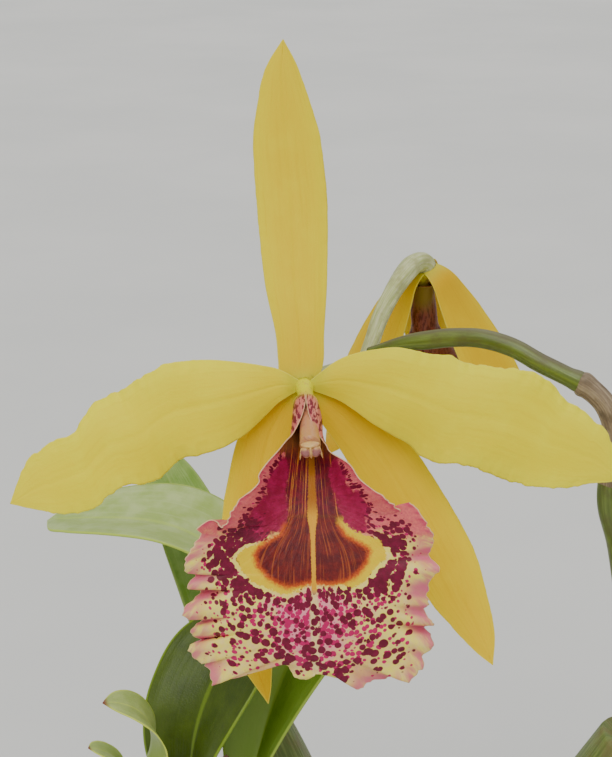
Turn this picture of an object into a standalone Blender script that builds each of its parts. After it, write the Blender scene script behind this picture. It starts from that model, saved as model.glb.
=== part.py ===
"""Cattleya orchid with a yellow, spotted-lipped bloom and a second, nodding one, growing in a
square nursery pot. Metres, +Z up, the origin at the middle of the pot's base.

A bloom's own frame has x to the right, y up and z out of its face, with the origin where the
sepals, petals, lip and column meet on top of the ovary."""

import math
import random

import bmesh
import bpy
import numpy as np
from mathutils import Matrix, Vector

MM = 0.001
GAP = 0.0003

# Pot and bark
POT_TOP = 0.124
POT_BASE = 0.098
POT_HEIGHT = 0.105
POT_WALL = 0.0022
POT_CORNER = 0.014
RIM_BAND = 0.011
RIM_STEP = 0.0018
DRAIN_RADIUS = 0.006
DRAIN_FROM_CENTRE = 0.028
BARK_LEVEL = 0.091
CHIP_COUNT = 52
CHIP_SIZE = (0.0095, 0.0062, 0.0042)

# Rhizomes and pseudobulbs: where each stands on the bark, its lean at the top and its height
RHIZOME_RADIUS = 0.0045
RHIZOMES = {
    "rhizome_left": ((-0.035, 0.032), (-0.029, 0.012), (-0.023, -0.006), (-0.031, -0.017), (-0.041, -0.023)),
    "rhizome_right": ((-0.013, 0.019), (0.000, 0.026), (0.013, 0.025), (0.026, 0.013), (0.035, -0.006)),
}
RHIZOME_SIDES = 10
BULB_SEAT = BARK_LEVEL + GAP + 2 * RHIZOME_RADIUS + GAP
PSEUDOBULBS = {
    "pseudobulb_flowering": ((0.034, -0.005), (0.028, -0.009, 0.108), 0.0125),
    "pseudobulb_middle": ((-0.022, -0.004), (-0.021, -0.014, 0.087), 0.0120),
    "pseudobulb_back": ((-0.014, 0.026), (-0.022, 0.005, 0.087), 0.0115),
    "pseudobulb_old_right": ((0.014, 0.024), (0.010, 0.008, 0.055), 0.0105),
    "pseudobulb_old_left": ((-0.034, 0.030), (-0.0085, 0.0125, 0.052), 0.0098),
    "young_shoot": ((-0.040, -0.022), (-0.0222, -0.013, 0.112), 0.0060),
}
BULB_PROFILE = ((0.0, 0.42), (0.1, 0.55), (0.3, 0.80), (0.6, 1.0), (0.85, 0.86), (1.0, 0.66))

# Leaves: pseudobulb, foot on its top, direction of the lean, length, half width, first and last
# angle from upright, and how sharply the leaf bends half way
LEAVES = {
    "leaf_pale": ("pseudobulb_back", (0.0, 0.0), 167, 0.103, 0.0172, -1, 100, 2.3),
    "leaf_dark": ("pseudobulb_middle", (-0.0058, 0.0), 50, 0.063, 0.0160, -18, 84, 1.0),
    "leaf_bright": ("pseudobulb_middle", (0.0060, 0.0), 58, 0.108, 0.0190, 23, 92, 1.25),
    "leaf_back": ("pseudobulb_old_left", (0.0, 0.0), 122, 0.118, 0.0118, 0, 58, 1.5),
    "leaf_right_back": ("pseudobulb_flowering", (0.0064, 0.0038), 28, 0.165, 0.0215, 24, 100, 1.25),
    "leaf_right_front": ("pseudobulb_flowering", (0.0042, -0.0062), -58, 0.155, 0.0205, 28, 108, 1.25),
    "young_leaf": ("young_shoot", (0.0022, 0.0), 192, 0.0245, 0.0064, -28, 84, 1.25),
    "young_leaf_small": ("young_shoot", (-0.0024, -0.0016), 205, 0.013, 0.0046, 22, 64, 1.25),
    "dry_sheath": ("pseudobulb_middle", (0.0020, -0.0058), 262, 0.022, 0.0030, -4, 8, 1.0),
}
LEAF_COLOURS = {
    "leaf_pale": (0.36, 0.44, 0.20),
    "young_leaf": (0.30, 0.37, 0.08),
    "young_leaf_small": (0.30, 0.37, 0.08),
    "dry_sheath": (0.30, 0.20, 0.12),
}
LEAF_COLOUR = (0.10, 0.17, 0.035)
LEAF_THICKNESS = 0.0016
YOUNG_LEAF_THICKNESS = 0.0007
LEAF_WIDTHS = ((0.0, 0.28), (0.1, 0.48), (0.25, 0.78), (0.5, 1.0), (0.75, 0.9), (0.92, 0.5), (1.0, 0.0))
LEAF_FOLDS = ((0.0, 60), (0.2, 44), (0.5, 22), (1.0, 10))
NARROW_LEAF = 0.005
NARROW_LEAF_FOLD = 0.45
LEAF_ROWS = 13
LEAF_COLUMNS = 6

# Flower spray
BLOOM_AT = (-0.022, -0.038, 0.312)
BLOOM_LEANS_BACK = math.radians(20)
TEPAL_THICKNESS = 0.0008
REAR_BLOOM_AT = (30.6, 29.0, -55.2)
REAR_BLOOM_FACES = (0.10, -0.76, -0.64)
REAR_BLOOM_DORSAL = (0.0, 0.60, -0.80)

# Flower stem in the front bloom's frame, in millimetres, from the rear end of the spray down
PEDUNCLE = (
    (15.5, 7.7, -30.8), (22.6, 9.5, -27), (28.9, 10.3, -24), (34.8, 10.8, -21), (40.9, 10.4, -18),
    (47.2, 8.4, -15.6), (53.0, 5.0, -13.8), (58.6, 2.1, -12.4), (63.6, -0.6, -11.6), (67.8, -5.2, -11),
    (70.4, -12.0, -11.6), (70.2, -19.8, -13.6), (69.6, -27.4, -16.4), (71.9, -37.0, -22.5),
    (76.6, -53.0, -33.5), (80.6, -71.0, -45.5),
)
PEDUNCLE_RADIUS = 0.0022
BRACT_FROM = 0.47
BRACT_TO = 0.57
BRACT_RADIUS = 0.0031
OVARY = ((13.1, 6.3, -29.2), (9.4, 5.0, -22), (5.0, 2.4, -13), (1.6, 0.3, -6.0), (0.2, -0.3, -1.0))
REAR_OVARY = (
    (16.5, 9.6, -32.5), (18.4, 15.8, -38), (21.7, 22.2, -43), (25.0, 27.4, -47.2),
    (27.6, 30.4, -50.6), (29.7, 30.9, -53.2), (30.5, 29.76, -54.56),
)
OVARY_RADII = ((0.0, 1.9), (0.5, 2.3), (0.85, 2.6), (1.0, 2.6))
OVARY_RIBS = 6

# Column and its cap in the front bloom's frame
COLUMN = ((0.3, -0.4, -0.6), (0.8, -3.8, 6.0), (1.2, -8.2, 14.2), (1.5, -11.9, 21.2))
COLUMN_RADII = ((0.0, 2.4), (0.25, 2.0), (0.7, 1.9), (1.0, 2.1))
CAP_RADII = (2.3, 1.5, 1.9)

# Sepals and petals of the front bloom: two edges from the base to the shared tip
DORSAL_EDGES = (
    ((-2.0, 3.1), (-4.4, 5.2), (-6.0, 11.4), (-8.2, 21.5), (-9.5, 32.7), (-10.4, 43), (-10.9, 53.1),
     (-10.3, 58.5), (-9.1, 65.4), (-7.6, 69.6), (-4.3, 74.6)),
    ((2.2, 3.1), (4.4, 5.4), (4.5, 11.4), (5.2, 21.5), (5.4, 32.7), (5.2, 42), (3.9, 53.1),
     (2.4, 58.8), (0.2, 65.2), (-1.5, 69.6), (-4.3, 74.6)),
)
LEFT_PETAL_EDGES = (
    ((-2.9, 1.3), (-5.2, 3.1), (-8.8, 4.2), (-14.6, 5.0), (-21.3, 5.4), (-28.0, 4.7), (-32.2, 2.9),
     (-37.0, 0.0), (-41.5, -2.2), (-45.2, -4.5), (-47.1, -7.4), (-49.0, -10.2), (-55.5, -13.3),
     (-59.6, -17.6), (-62.6, -25.4)),
    ((-2.9, -1.4), (-5.0, -3.4), (-7.2, -5.7), (-10.8, -9.2), (-13.4, -11.3), (-17.4, -13.5),
     (-21.6, -14.9), (-26.4, -15.9), (-29.4, -19.0), (-32.7, -20.9), (-37.4, -21.4), (-41.2, -23.6),
     (-45.4, -26.6), (-52.0, -27.3), (-62.6, -25.4)),
)
RIGHT_PETAL_EDGES = (
    ((3.6, 1.3), (6.9, 5.0), (11.0, 6.7), (15.5, 7.6), (20.6, 8.0), (26.9, 6.7), (31.6, 6.1),
     (36.0, 4.4), (42.8, 3.7), (47.4, 3.0), (52.0, 1.2), (56.4, -3.4), (61.1, -6.6), (65.3, -11.2),
     (68.4, -20.4)),
    ((3.6, -1.4), (7.3, -2.9), (11.0, -5.4), (14.8, -8.2), (18.7, -10.5), (22.4, -12.6),
     (25.2, -15.2), (28.6, -16.5), (33.4, -16.9), (37.6, -18.0), (42.0, -20.0), (47.3, -21.3),
     (54.6, -21.9), (61.4, -21.0), (68.4, -20.4)),
)
LEFT_LATERAL_EDGES = (
    ((-2.9, -2.2), (-7.0, -5.4), (-11.2, -8.6), (-14.2, -13.0), (-16.4, -20.6), (-17.6, -28.0),
     (-17.9, -38.0), (-16.6, -50.0), (-13.4, -61.0), (-7.5, -69.4)),
    ((-1.0, -4.0), (-1.5, -10.0), (-2.0, -18.0), (-2.6, -28.0), (-3.6, -38.0), (-4.8, -48.0),
     (-6.4, -58.0), (-6.8, -63.0), (-7.0, -66.4), (-7.5, -69.4)),
)
RIGHT_LATERAL_EDGES = (
    ((1.4, -4.0), (4.6, -8.8), (7.4, -13.0), (10.6, -18.2), (15.0, -26.0), (20.0, -35.0),
     (27.3, -46.7), (32.6, -53.0), (37.4, -58.0), (41.3, -61.0)),
    ((3.3, -2.2), (11.0, -5.8), (18.0, -10.0), (24.3, -14.8), (29.4, -21.6), (34.0, -29.2),
     (37.8, -36.8), (40.3, -46.0), (41.8, -54.0), (41.3, -61.0)),
)

# Lip stations from the claw to the notch: middle, left margin, right margin
LIP_STATIONS = (
    ((0.2, -4.9, 0.9), (-1.7, -4.7, 1.1), (2.1, -4.7, 1.1)),
    ((0.5, -6.9, 4.2), (-2.6, -3.2, 4.6), (3.8, -3.2, 4.6)),
    ((0.9, -9.0, 7.6), (-1.5, -1.5, 8.2), (3.0, -1.5, 8.2)),
    ((1.2, -11.3, 10.6), (0.1, -3.0, 11.4), (1.6, -3.0, 11.4)),
    ((1.3, -13.9, 13.0), (-0.8, -6.6, 15.4), (3.1, -6.6, 15.4)),
    ((1.3, -16.6, 15.0), (-2.9, -10.9, 18.4), (5.2, -12.2, 18.4)),
    ((1.5, -19.8, 17.0), (-7.0, -15.6, 23.6), (9.3, -16.2, 23.2)),
    ((1.7, -24.6, 19.3), (-13.2, -22.3, 28.0), (16.3, -21.4, 27.6)),
    ((1.8, -31.0, 21.4), (-19.9, -27.4, 27.6), (23.8, -25.2, 27.0)),
    ((1.9, -38.0, 22.6), (-23.2, -37.0, 25.0), (27.0, -36.0, 24.2)),
    ((2.0, -45.0, 22.4), (-23.0, -49.8, 20.0), (26.6, -49.4, 19.4)),
    ((2.2, -51.4, 20.6), (-17.8, -59.8, 15.8), (21.6, -60.2, 15.4)),
    ((2.4, -56.0, 18.6), (-7.6, -58.0, 16.6), (11.4, -59.4, 16.2)),
    ((2.6, -58.6, 17.0), (2.6, -58.6, 17.0), (2.6, -58.6, 17.0)),
)
LIP_SIDE_BULGE = ((0, 0.1), (1, 0.9), (2, 1.6), (3, 2.5), (4, 2.4), (5, 1.2), (6, 0.2), (7, 0.0), (13, 0.0))
LIP_BACK_BULGE = ((0, 0.0), (4, 0.0), (5, 0.8), (6, 2.0), (7, 2.8), (8, 2.0), (9, 0.4), (10, -1.0), (13, -0.4))
LIP_TUBE = ((0, 1.0), (4, 1.0), (5, 0.8), (6, 0.4), (7, 0.1), (8, 0.0), (13, 0.0))
LIP_FRILL = ((0, 0.0), (5, 0.1), (6, 0.5), (8, 1.0), (11, 1.2), (12.4, 0.8), (13, 0.0))
FRILL_HEIGHT = 1.5
FRILL_WAVES = 11
TOOTH_LENGTH = 1.3

# Rear bloom: tepal direction round the axis, how far it points forward, length and half width
REAR_TEPALS = {
    "rear_dorsal_sepal": (90, 66, 60, 6.6, -0.8),
    "rear_left_petal": (172, 64, 56, 7.0, 0.6),
    "rear_right_petal": (8, 64, 56, 7.0, 0.8),
    "rear_left_lateral_sepal": (-137, 55, 62, 8.2, -1.2),
    "rear_right_lateral_sepal": (-31, 55, 62, 8.4, -0.9),
}
TEPAL_WIDTHS = ((0.0, 0.3), (0.12, 0.55), (0.35, 0.9), (0.55, 1.0), (0.8, 0.74), (0.94, 0.34), (1.0, 0.0))
REAR_LIP_SWING = math.radians(-38)
REAR_LIP_WIDTHS = ((0, 1.0), (5, 1.0), (8, 0.55), (10, 0.48), (13, 0.48))
REAR_LIP_LENGTHS = ((0, 1.0), (5, 1.0), (8, 0.9), (13, 0.78))

YELLOW = (0.86, 0.66, 0.045)
DEEP_YELLOW = (0.78, 0.52, 0.03)


def clear_scene():
    for obj in list(bpy.data.objects):
        bpy.data.objects.remove(obj, do_unlink=True)


def finish(name, colour, roughness=0.5):
    """A material of the part's own colour."""
    made = bpy.data.materials.new(name)
    made.use_nodes = True
    shader = made.node_tree.nodes["Principled BSDF"]
    shader.inputs["Base Color"].default_value = (*colour, 1.0)
    shader.inputs["Roughness"].default_value = roughness
    shader.inputs["Metallic"].default_value = 0.0
    return made


def link(name, data, material, parent=None, location=(0, 0, 0), turn=0.0):
    obj = bpy.data.objects.new(name, data)
    obj.location = location
    obj.rotation_euler = (0, 0, turn)
    obj.parent = parent
    if material is not None:
        data.materials.append(material)
    bpy.context.scene.collection.objects.link(obj)
    return obj


def spline(points, at):
    """Smooth curve through the points. at counts along them, with 0 at the first."""
    points = np.asarray(points, float)
    padded = np.vstack([2 * points[0] - points[1], points, 2 * points[-1] - points[-2]])
    at = np.asarray(at, float)
    first = np.clip(np.floor(at).astype(int), 0, len(points) - 2)
    f = (at - first)[:, None]
    a, b, c, d = (padded[first + k] for k in range(4))
    bent = (2 * a - 5 * b + 4 * c - d) * f**2 + (3 * b - a - 3 * c + d) * f**3
    return 0.5 * (2 * b + (c - a) * f + bent)


def along(points, shares):
    """The same curve, read at shares of its length."""
    fine = spline(points, np.linspace(0, len(points) - 1, 30 * len(points)))
    steps = np.linalg.norm(np.diff(fine, axis=0), axis=1)
    run = np.concatenate([[0.0], np.cumsum(steps)])
    return np.stack([np.interp(np.asarray(shares) * run[-1], run, axis) for axis in fine.T], 1)


def profile(pairs, at):
    """Smooth curve through (place, value) pairs, read at the places in at."""
    place, value = np.asarray(pairs, float).T
    slope = np.gradient(value, place)
    k = np.clip(np.searchsorted(place, at, "right") - 1, 0, len(place) - 2)
    wide = place[k + 1] - place[k]
    f = (at - place[k]) / wide
    start = (1 + 2 * f) * (1 - f) ** 2 * value[k] + f * (1 - f) ** 2 * wide * slope[k]
    end = f**2 * (3 - 2 * f) * value[k + 1] + f**2 * (f - 1) * wide * slope[k + 1]
    return start + end


def sheet_mesh(name, grid):
    """Triangles over a grid of points whose last row is one point, the tip."""
    rows, columns = grid.shape[:2]
    mesh = bpy.data.meshes.new(name)
    bm = bmesh.new()
    verts = [[bm.verts.new(p) for p in row] for row in grid[:-1]]
    tip = bm.verts.new(grid[-1, columns // 2])
    for i in range(rows - 2):
        for j in range(columns - 1):
            a, b, c, d = verts[i][j], verts[i][j + 1], verts[i + 1][j + 1], verts[i + 1][j]
            left_half = j < columns // 2
            for face in ((a, b, c), (a, c, d)) if left_half else ((a, b, d), (b, c, d)):
                bm.faces.new(face)
    for a, b in zip(verts[-1], verts[-1][1:]):
        bm.faces.new((a, b, tip))
    bmesh.ops.recalc_face_normals(bm, faces=bm.faces)
    bm.to_mesh(mesh)
    bm.free()
    mesh.shade_smooth()
    return mesh


def blade(name, grid, thickness, material, parent=None, location=(0, 0, 0), turn=0.0):
    """A thin leaf of even thickness on both sides of the grid."""
    obj = link(name, sheet_mesh(name, grid), material, parent, location, turn)
    solid = obj.modifiers.new("thickness", "SOLIDIFY")
    solid.thickness = thickness
    solid.offset = 0.0
    solid.use_even_offset = False
    return obj


def ring_frames(spine, ends):
    """Two directions across the spine at each of its points, carried along without twist. ends
    holds the directions that its two end faces look along, or None where they follow the spine."""
    heading = np.gradient(spine, axis=0)
    for k, direction in zip((0, -1), ends):
        if direction is not None:
            heading[k] = direction
    heading /= np.linalg.norm(heading, axis=1)[:, None]
    start = np.array([1.0, 0.0, 0.0]) if abs(heading[0][0]) < 0.8 else np.array([0.0, 1.0, 0.0])
    side = np.empty_like(spine)
    for k, direction in enumerate(heading):
        previous = start if k == 0 else side[k - 1]
        across = previous - direction * np.dot(previous, direction)
        side[k] = across / np.linalg.norm(across)
    return side, np.cross(heading, side)


def stem_mesh(name, spine, radii, sides, ends=(None, None), ribs=0, rib_depth=0.0, twist=0.0):
    """A closed round stem along the spine, with flat ends and, if asked, twisted ribs."""
    side, other = ring_frames(spine, ends)
    mesh = bpy.data.meshes.new(name)
    bm = bmesh.new()
    loops = []
    for k, (centre, radius) in enumerate(zip(spine, radii)):
        loop = []
        for n in range(sides):
            angle = 2 * math.pi * n / sides + twist * k / len(spine)
            r = radius * (1 + rib_depth * math.cos(ribs * 2 * math.pi * n / sides))
            loop.append(bm.verts.new(centre + r * (side[k] * math.cos(angle) + other[k] * math.sin(angle))))
        loops.append(loop)
    for below, above in zip(loops, loops[1:]):
        for n in range(sides):
            m = (n + 1) % sides
            bm.faces.new((below[n], below[m], above[m], above[n]))
    bm.faces.new(loops[0][::-1])
    bm.faces.new(loops[-1])
    bmesh.ops.recalc_face_normals(bm, faces=bm.faces)
    bmesh.ops.triangulate(bm, faces=bm.faces)
    bm.to_mesh(mesh)
    bm.free()
    mesh.shade_smooth()
    mesh.set_sharp_from_angle(angle=math.radians(50))
    return mesh


def rounded_square(width, corner, height, steps=4):
    """Corner points of a square with round corners, anticlockwise."""
    reach = width / 2 - corner
    points = []
    for quarter, (cx, cy) in enumerate(((1, 1), (-1, 1), (-1, -1), (1, -1))):
        for step in range(steps + 1):
            angle = math.pi / 2 * (quarter + step / steps)
            x = cx * reach + corner * math.cos(angle)
            y = cy * reach + corner * math.sin(angle)
            points.append((x, y, height))
    return points


def loft(name, loops):
    """A closed mesh through a list of loops with equal counts, its first and last loops filled."""
    mesh = bpy.data.meshes.new(name)
    bm = bmesh.new()
    rings = [[bm.verts.new(p) for p in loop] for loop in loops]
    for below, above in zip(rings, rings[1:]):
        for n in range(len(below)):
            m = (n + 1) % len(below)
            bm.faces.new((below[n], below[m], above[m], above[n]))
    bm.faces.new(rings[0][::-1])
    bm.faces.new(rings[-1])
    bmesh.ops.recalc_face_normals(bm, faces=bm.faces)
    bmesh.ops.triangulate(bm, faces=bm.faces)
    bm.to_mesh(mesh)
    bm.free()
    return mesh


def pot_width(height):
    """Outer width of the tapered pot at a height."""
    return POT_BASE + (POT_TOP - POT_BASE) * height / POT_HEIGHT


def inner_width(height):
    """Width of the pot's inside at a height above its base."""
    share = (height - POT_WALL) / (POT_HEIGHT - POT_WALL)
    return POT_BASE + (POT_TOP - POT_BASE) * share - 2 * POT_WALL


def make_pot():
    under_band = POT_HEIGHT - RIM_BAND
    loops = [
        rounded_square(POT_BASE, POT_CORNER, 0),
        rounded_square(pot_width(under_band), POT_CORNER, under_band),
        rounded_square(pot_width(under_band) + 2 * RIM_STEP, POT_CORNER + RIM_STEP, under_band + 0.0006),
        rounded_square(POT_TOP + 2 * RIM_STEP, POT_CORNER + RIM_STEP, POT_HEIGHT),
        rounded_square(inner_width(POT_HEIGHT), POT_CORNER - POT_WALL, POT_HEIGHT),
        rounded_square(inner_width(POT_WALL), POT_CORNER - POT_WALL, POT_WALL),
    ]
    pot = link("pot", loft("pot", loops), finish("pot_plastic", (0.012, 0.012, 0.013), 0.42))
    for quarter in range(4):
        angle = math.pi / 4 + quarter * math.pi / 2
        place = (DRAIN_FROM_CENTRE * math.cos(angle), DRAIN_FROM_CENTRE * math.sin(angle), 0)
        circle = [
            (DRAIN_RADIUS * math.cos(2 * math.pi * n / 12), DRAIN_RADIUS * math.sin(2 * math.pi * n / 12))
            for n in range(12)
        ]
        loops = [[(x, y, z) for x, y in circle] for z in (-0.004, 0.008)]
        cutter = link(f"drain_cutter_{quarter + 1}", loft("drain", loops), None, location=place)
        cutter.hide_render = True
        cutter.display_type = "WIRE"
        cut = pot.modifiers.new("drain", "BOOLEAN")
        cut.operation = "DIFFERENCE"
        cut.solver = "EXACT"
        cut.object = cutter


def near_rhizome(x, y, room):
    """Whether a place on the bark is closer to a rhizome than room."""
    for places in RHIZOMES.values():
        line = along(places, np.linspace(0, 1, 30))
        if np.hypot(line[:, 0] - x, line[:, 1] - y).min() < room:
            return True
    return False


def bark_body():
    low = POT_WALL + GAP
    loops = [
        rounded_square(inner_width(height) - 2.4 * GAP, POT_CORNER - POT_WALL, height)
        for height in (low, BARK_LEVEL)
    ]
    return link("bark_medium", loft("bark_medium", loops), finish("bark", (0.17, 0.085, 0.04), 0.85))


def make_bark():
    """Bark in the pot, with coarse chips sunk into its top and joined to it."""
    body = bark_body()
    draw = random.Random(11)
    chips = bpy.data.collections.new("chips")
    bpy.context.scene.collection.children.link(chips)
    reach = inner_width(BARK_LEVEL) / 2 - 0.0115
    while len(chips.objects) < CHIP_COUNT:
        x = draw.uniform(-reach, reach)
        y = draw.uniform(-reach, reach)
        turn = draw.uniform(0, math.pi)
        tilt = draw.uniform(-0.22, 0.22)
        if near_rhizome(x, y, RHIZOME_RADIUS + 0.0105):
            continue
        mesh = bpy.data.meshes.new("chip")
        bm = bmesh.new()
        bmesh.ops.create_cube(bm, size=2.0)
        size = [side * draw.uniform(0.75, 1.1) for side in CHIP_SIZE]
        place = Matrix.Translation((x, y, BARK_LEVEL + draw.uniform(-0.0012, 0.0012)))
        spin = Matrix.Rotation(turn, 4, "Z") @ Matrix.Rotation(tilt, 4, "X")
        bm.transform(place @ spin @ Matrix.Diagonal((*size, 1.0)))
        bm.to_mesh(mesh)
        bm.free()
        chips.objects.link(bpy.data.objects.new(f"chip_{len(chips.objects)}", mesh))
    join = body.modifiers.new("chips", "BOOLEAN")
    join.operation = "UNION"
    join.operand_type = "COLLECTION"
    join.solver = "EXACT"
    join.collection = chips
    apply_modifiers(body)
    for chip in list(chips.objects):
        bpy.data.objects.remove(chip, do_unlink=True)
    bpy.data.collections.remove(chips)


def apply_modifiers(obj):
    bpy.context.view_layer.update()
    evaluated = obj.evaluated_get(bpy.context.evaluated_depsgraph_get())
    mesh = bpy.data.meshes.new_from_object(evaluated)
    obj.modifiers.clear()
    obj.data = mesh


def make_rhizomes():
    height = BARK_LEVEL + GAP + RHIZOME_RADIUS
    for name, places in RHIZOMES.items():
        line = along(places, np.linspace(0, 1, 14))
        spine = np.column_stack([line, np.full(len(line), height)])
        radii = np.full(len(line), RHIZOME_RADIUS)
        radii[[0, -1]] *= 0.7
        mesh = stem_mesh(name, spine, radii, RHIZOME_SIDES)
        link(name, mesh, finish(name, (0.20, 0.19, 0.08), 0.7))


def bulb_spine(name, shares):
    """Centre line of a pseudobulb: upright at its foot, leaning more towards its top."""
    foot, lean, _ = PSEUDOBULBS[name]
    shares = np.asarray(shares, float)
    lean_x = lean[0] * shares**1.4
    lean_y = lean[1] * shares**1.4
    return np.column_stack([foot[0] + lean_x, foot[1] + lean_y, BULB_SEAT + lean[2] * shares])


def make_pseudobulbs():
    for name, (_, _, radius) in PSEUDOBULBS.items():
        shares = np.linspace(0, 1, 10)
        widths = radius * profile(BULB_PROFILE, shares)
        spine = bulb_spine(name, shares)
        sides = 10 if radius > 0.008 else 8
        mesh = stem_mesh(name, spine, widths, sides, ends=((0, 0, 1), (0, 0, 1)))
        link(name, mesh, finish(name, (0.24, 0.30, 0.09), 0.5))


def leaf_grid(length, half_width, first, last, late):
    """A folded, arching leaf that leans towards +X, with its foot at the origin."""
    shares = np.linspace(0, 1, LEAF_ROWS + 1)
    fine = np.linspace(0, 1, 200)
    bent = fine**late / (fine**late + (1 - fine)**late)
    angle = np.radians(first + (last - first) * bent)
    x = np.cumsum(np.sin(angle)) * length / 200
    z = np.cumsum(np.cos(angle)) * length / 200
    spine_x = np.interp(shares, fine, x)
    spine_z = np.interp(shares, fine, z)
    lean = np.interp(shares, fine, angle)
    width = half_width * profile(LEAF_WIDTHS, shares)
    fold = np.radians(profile(LEAF_FOLDS, shares)) * (NARROW_LEAF_FOLD if half_width < NARROW_LEAF else 1.0)
    grid = np.empty((len(shares), LEAF_COLUMNS + 1, 3))
    for j, side in enumerate(np.linspace(-1, 1, LEAF_COLUMNS + 1)):
        out = width * side * np.cos(fold)
        rise = width * (math.sqrt(side**2 + 0.02) - 0.14) * np.sin(fold)
        # The upper face looks back over the pseudobulb, so the fold opens to -X at the foot.
        grid[:, j, 0] = spine_x - rise * np.cos(lean)
        grid[:, j, 1] = out
        grid[:, j, 2] = spine_z + rise * np.sin(lean)
    return grid


def make_leaves():
    for name, (bulb, place, toward, length, half_width, first, last, late) in LEAVES.items():
        thickness = LEAF_THICKNESS if half_width > 0.01 else YOUNG_LEAF_THICKNESS
        grid = leaf_grid(length, half_width, first, last, late)
        rest = GAP + thickness / 2 * math.sin(math.radians(abs(first))) - grid[0, :, 2].min()
        foot = bulb_spine(bulb, [1.0])[0] + np.array([*place, rest])
        material = finish(name, LEAF_COLOURS.get(name, LEAF_COLOUR), 0.4)
        blade(name, grid, thickness, material, location=foot, turn=math.radians(toward))


def make_bloom_frames():
    """Empties that carry the two blooms' frames."""
    lean = Matrix.Rotation(math.pi / 2 - BLOOM_LEANS_BACK, 4, "X")
    front = link("front_bloom", None, None)
    front.matrix_world = Matrix.Translation(BLOOM_AT) @ lean
    face = Vector(REAR_BLOOM_FACES).normalized()
    dorsal = Vector(REAR_BLOOM_DORSAL)
    dorsal = (dorsal - face * dorsal.dot(face)).normalized()
    right = dorsal.cross(face)
    turned = Matrix((right, dorsal, face)).transposed().to_4x4()
    rear = link("rear_bloom", None, None)
    place = Matrix.Translation(Vector(REAR_BLOOM_AT) * MM)
    rear.matrix_world = front.matrix_world @ place @ turned
    return front, rear


def tepal_grid(edges, rows, columns, depth):
    """Points between two edges from base to tip, set forward or back by depth(along, across)."""
    shares = np.linspace(0, 1, rows + 1)
    first, second = (along(edge, shares) for edge in edges)
    grid = np.empty((rows + 1, columns + 1, 3))
    for j, across in enumerate(np.linspace(0, 1, columns + 1)):
        grid[:, j, :2] = first + (second - first) * across
        grid[:, j, 2] = depth(shares, 2 * across - 1)
    return grid * MM


def sepal_depth(shares, across):
    """Lateral sepals sweep back behind the petals, and their margins turn back a little."""
    return -0.8 - 5.0 * np.sin(0.8 * math.pi * shares) ** 1.2 - 1.2 * across**2 * np.sin(math.pi * shares)


def dorsal_depth(shares, across):
    """The dorsal sepal leans back, with its margins turned back and its tip coming forward."""
    lean = -0.8 - 3.4 * np.sin(math.pi * shares) ** 1.3
    return lean - 1.0 * across**2 * np.sin(math.pi * shares) ** 0.7


def petal_depth(phase):
    """Petals arch forward, then droop, with waves that grow towards the margins."""

    def depth(shares, across):
        arch = 0.8 + 4.2 * np.sin(0.72 * math.pi * shares) - 2.0 * shares**3
        swell = np.sin(math.pi * np.clip(shares * 1.15, 0, 1)) ** 0.8
        wave = np.sin(2 * math.pi * (3.1 * shares + phase) + 0.9 * across)
        curl = -1.6 * across**2 * swell
        return arch + curl + 1.1 * abs(across) ** 1.5 * wave * swell

    return depth


def make_front_tepals(front):
    blades = {
        "dorsal_sepal": (DORSAL_EDGES, 20, 6, dorsal_depth, YELLOW),
        "left_petal": (LEFT_PETAL_EDGES, 26, 6, petal_depth(0.1), YELLOW),
        "right_petal": (RIGHT_PETAL_EDGES, 26, 6, petal_depth(0.55), YELLOW),
        "left_lateral_sepal": (LEFT_LATERAL_EDGES, 18, 4, sepal_depth, DEEP_YELLOW),
        "right_lateral_sepal": (RIGHT_LATERAL_EDGES, 18, 4, sepal_depth, DEEP_YELLOW),
    }
    for name, (edges, rows, columns, depth, colour) in blades.items():
        grid = tepal_grid(edges, rows, columns, depth)
        blade(name, grid, TEPAL_THICKNESS, finish(name, colour), parent=front)


def lip_grid(rows, columns, widths=((0, 1.0), (13, 1.0)), lengths=((0, 1.0), (13, 1.0))):
    """The lip from its claw to the notch. Each row runs from the left margin over the middle to
    the right margin: a closed tube round the column first, then a trough, then the open lobe."""
    at = np.linspace(0, len(LIP_STATIONS) - 1, rows + 1)
    middle, left, right = (spline([station[k] for station in LIP_STATIONS], at) for k in range(3))
    side = profile(LIP_SIDE_BULGE, at)
    back = profile(LIP_BACK_BULGE, at)
    tube = profile(LIP_TUBE, at)[:, None]
    frill = profile(LIP_FRILL, at)
    half = columns // 2
    grid = np.empty((rows + 1, columns + 1, 3))
    for j in range(columns + 1):
        margin, sign = (left, -1) if j < half else (right, 1)
        out = abs(j - half) / half
        share = tube * (1 - math.cos(math.pi * out)) / 2 + (1 - tube) * out
        point = middle + (margin - middle) * share
        swell = math.sin(math.pi * out)
        point[:, 0] += sign * side * swell
        point[:, 2] -= back * swell
        wave = np.sin(2 * math.pi * FRILL_WAVES * at / at[-1] + (0.0 if sign < 0 else 1.9))
        tooth = 0.5 * np.sin(4 * math.pi * FRILL_WAVES * at / at[-1] + sign)
        outward = (margin - middle) / (np.linalg.norm(margin - middle, axis=1)[:, None] + 1e-9)
        point += outward * (TOOTH_LENGTH * frill * tooth * out**6)[:, None]
        point[:, 2] += FRILL_HEIGHT * frill * wave * out**3
        point[:, 0] = middle[:, 0] + (point[:, 0] - middle[:, 0]) * profile(widths, at)
        point[:, 1] *= profile(lengths, at)
        grid[:, j] = point
    grid[-1] = grid[-1, half]
    return grid * MM


def swung(points, angle):
    """Points swung about the column's foot, up towards the bloom's face where the angle is negative."""
    foot = np.array(COLUMN[0])
    offset = points - foot
    out = offset.copy()
    out[..., 1] = offset[..., 1] * math.cos(angle) - offset[..., 2] * math.sin(angle)
    out[..., 2] = offset[..., 1] * math.sin(angle) + offset[..., 2] * math.cos(angle)
    return out + foot


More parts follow.
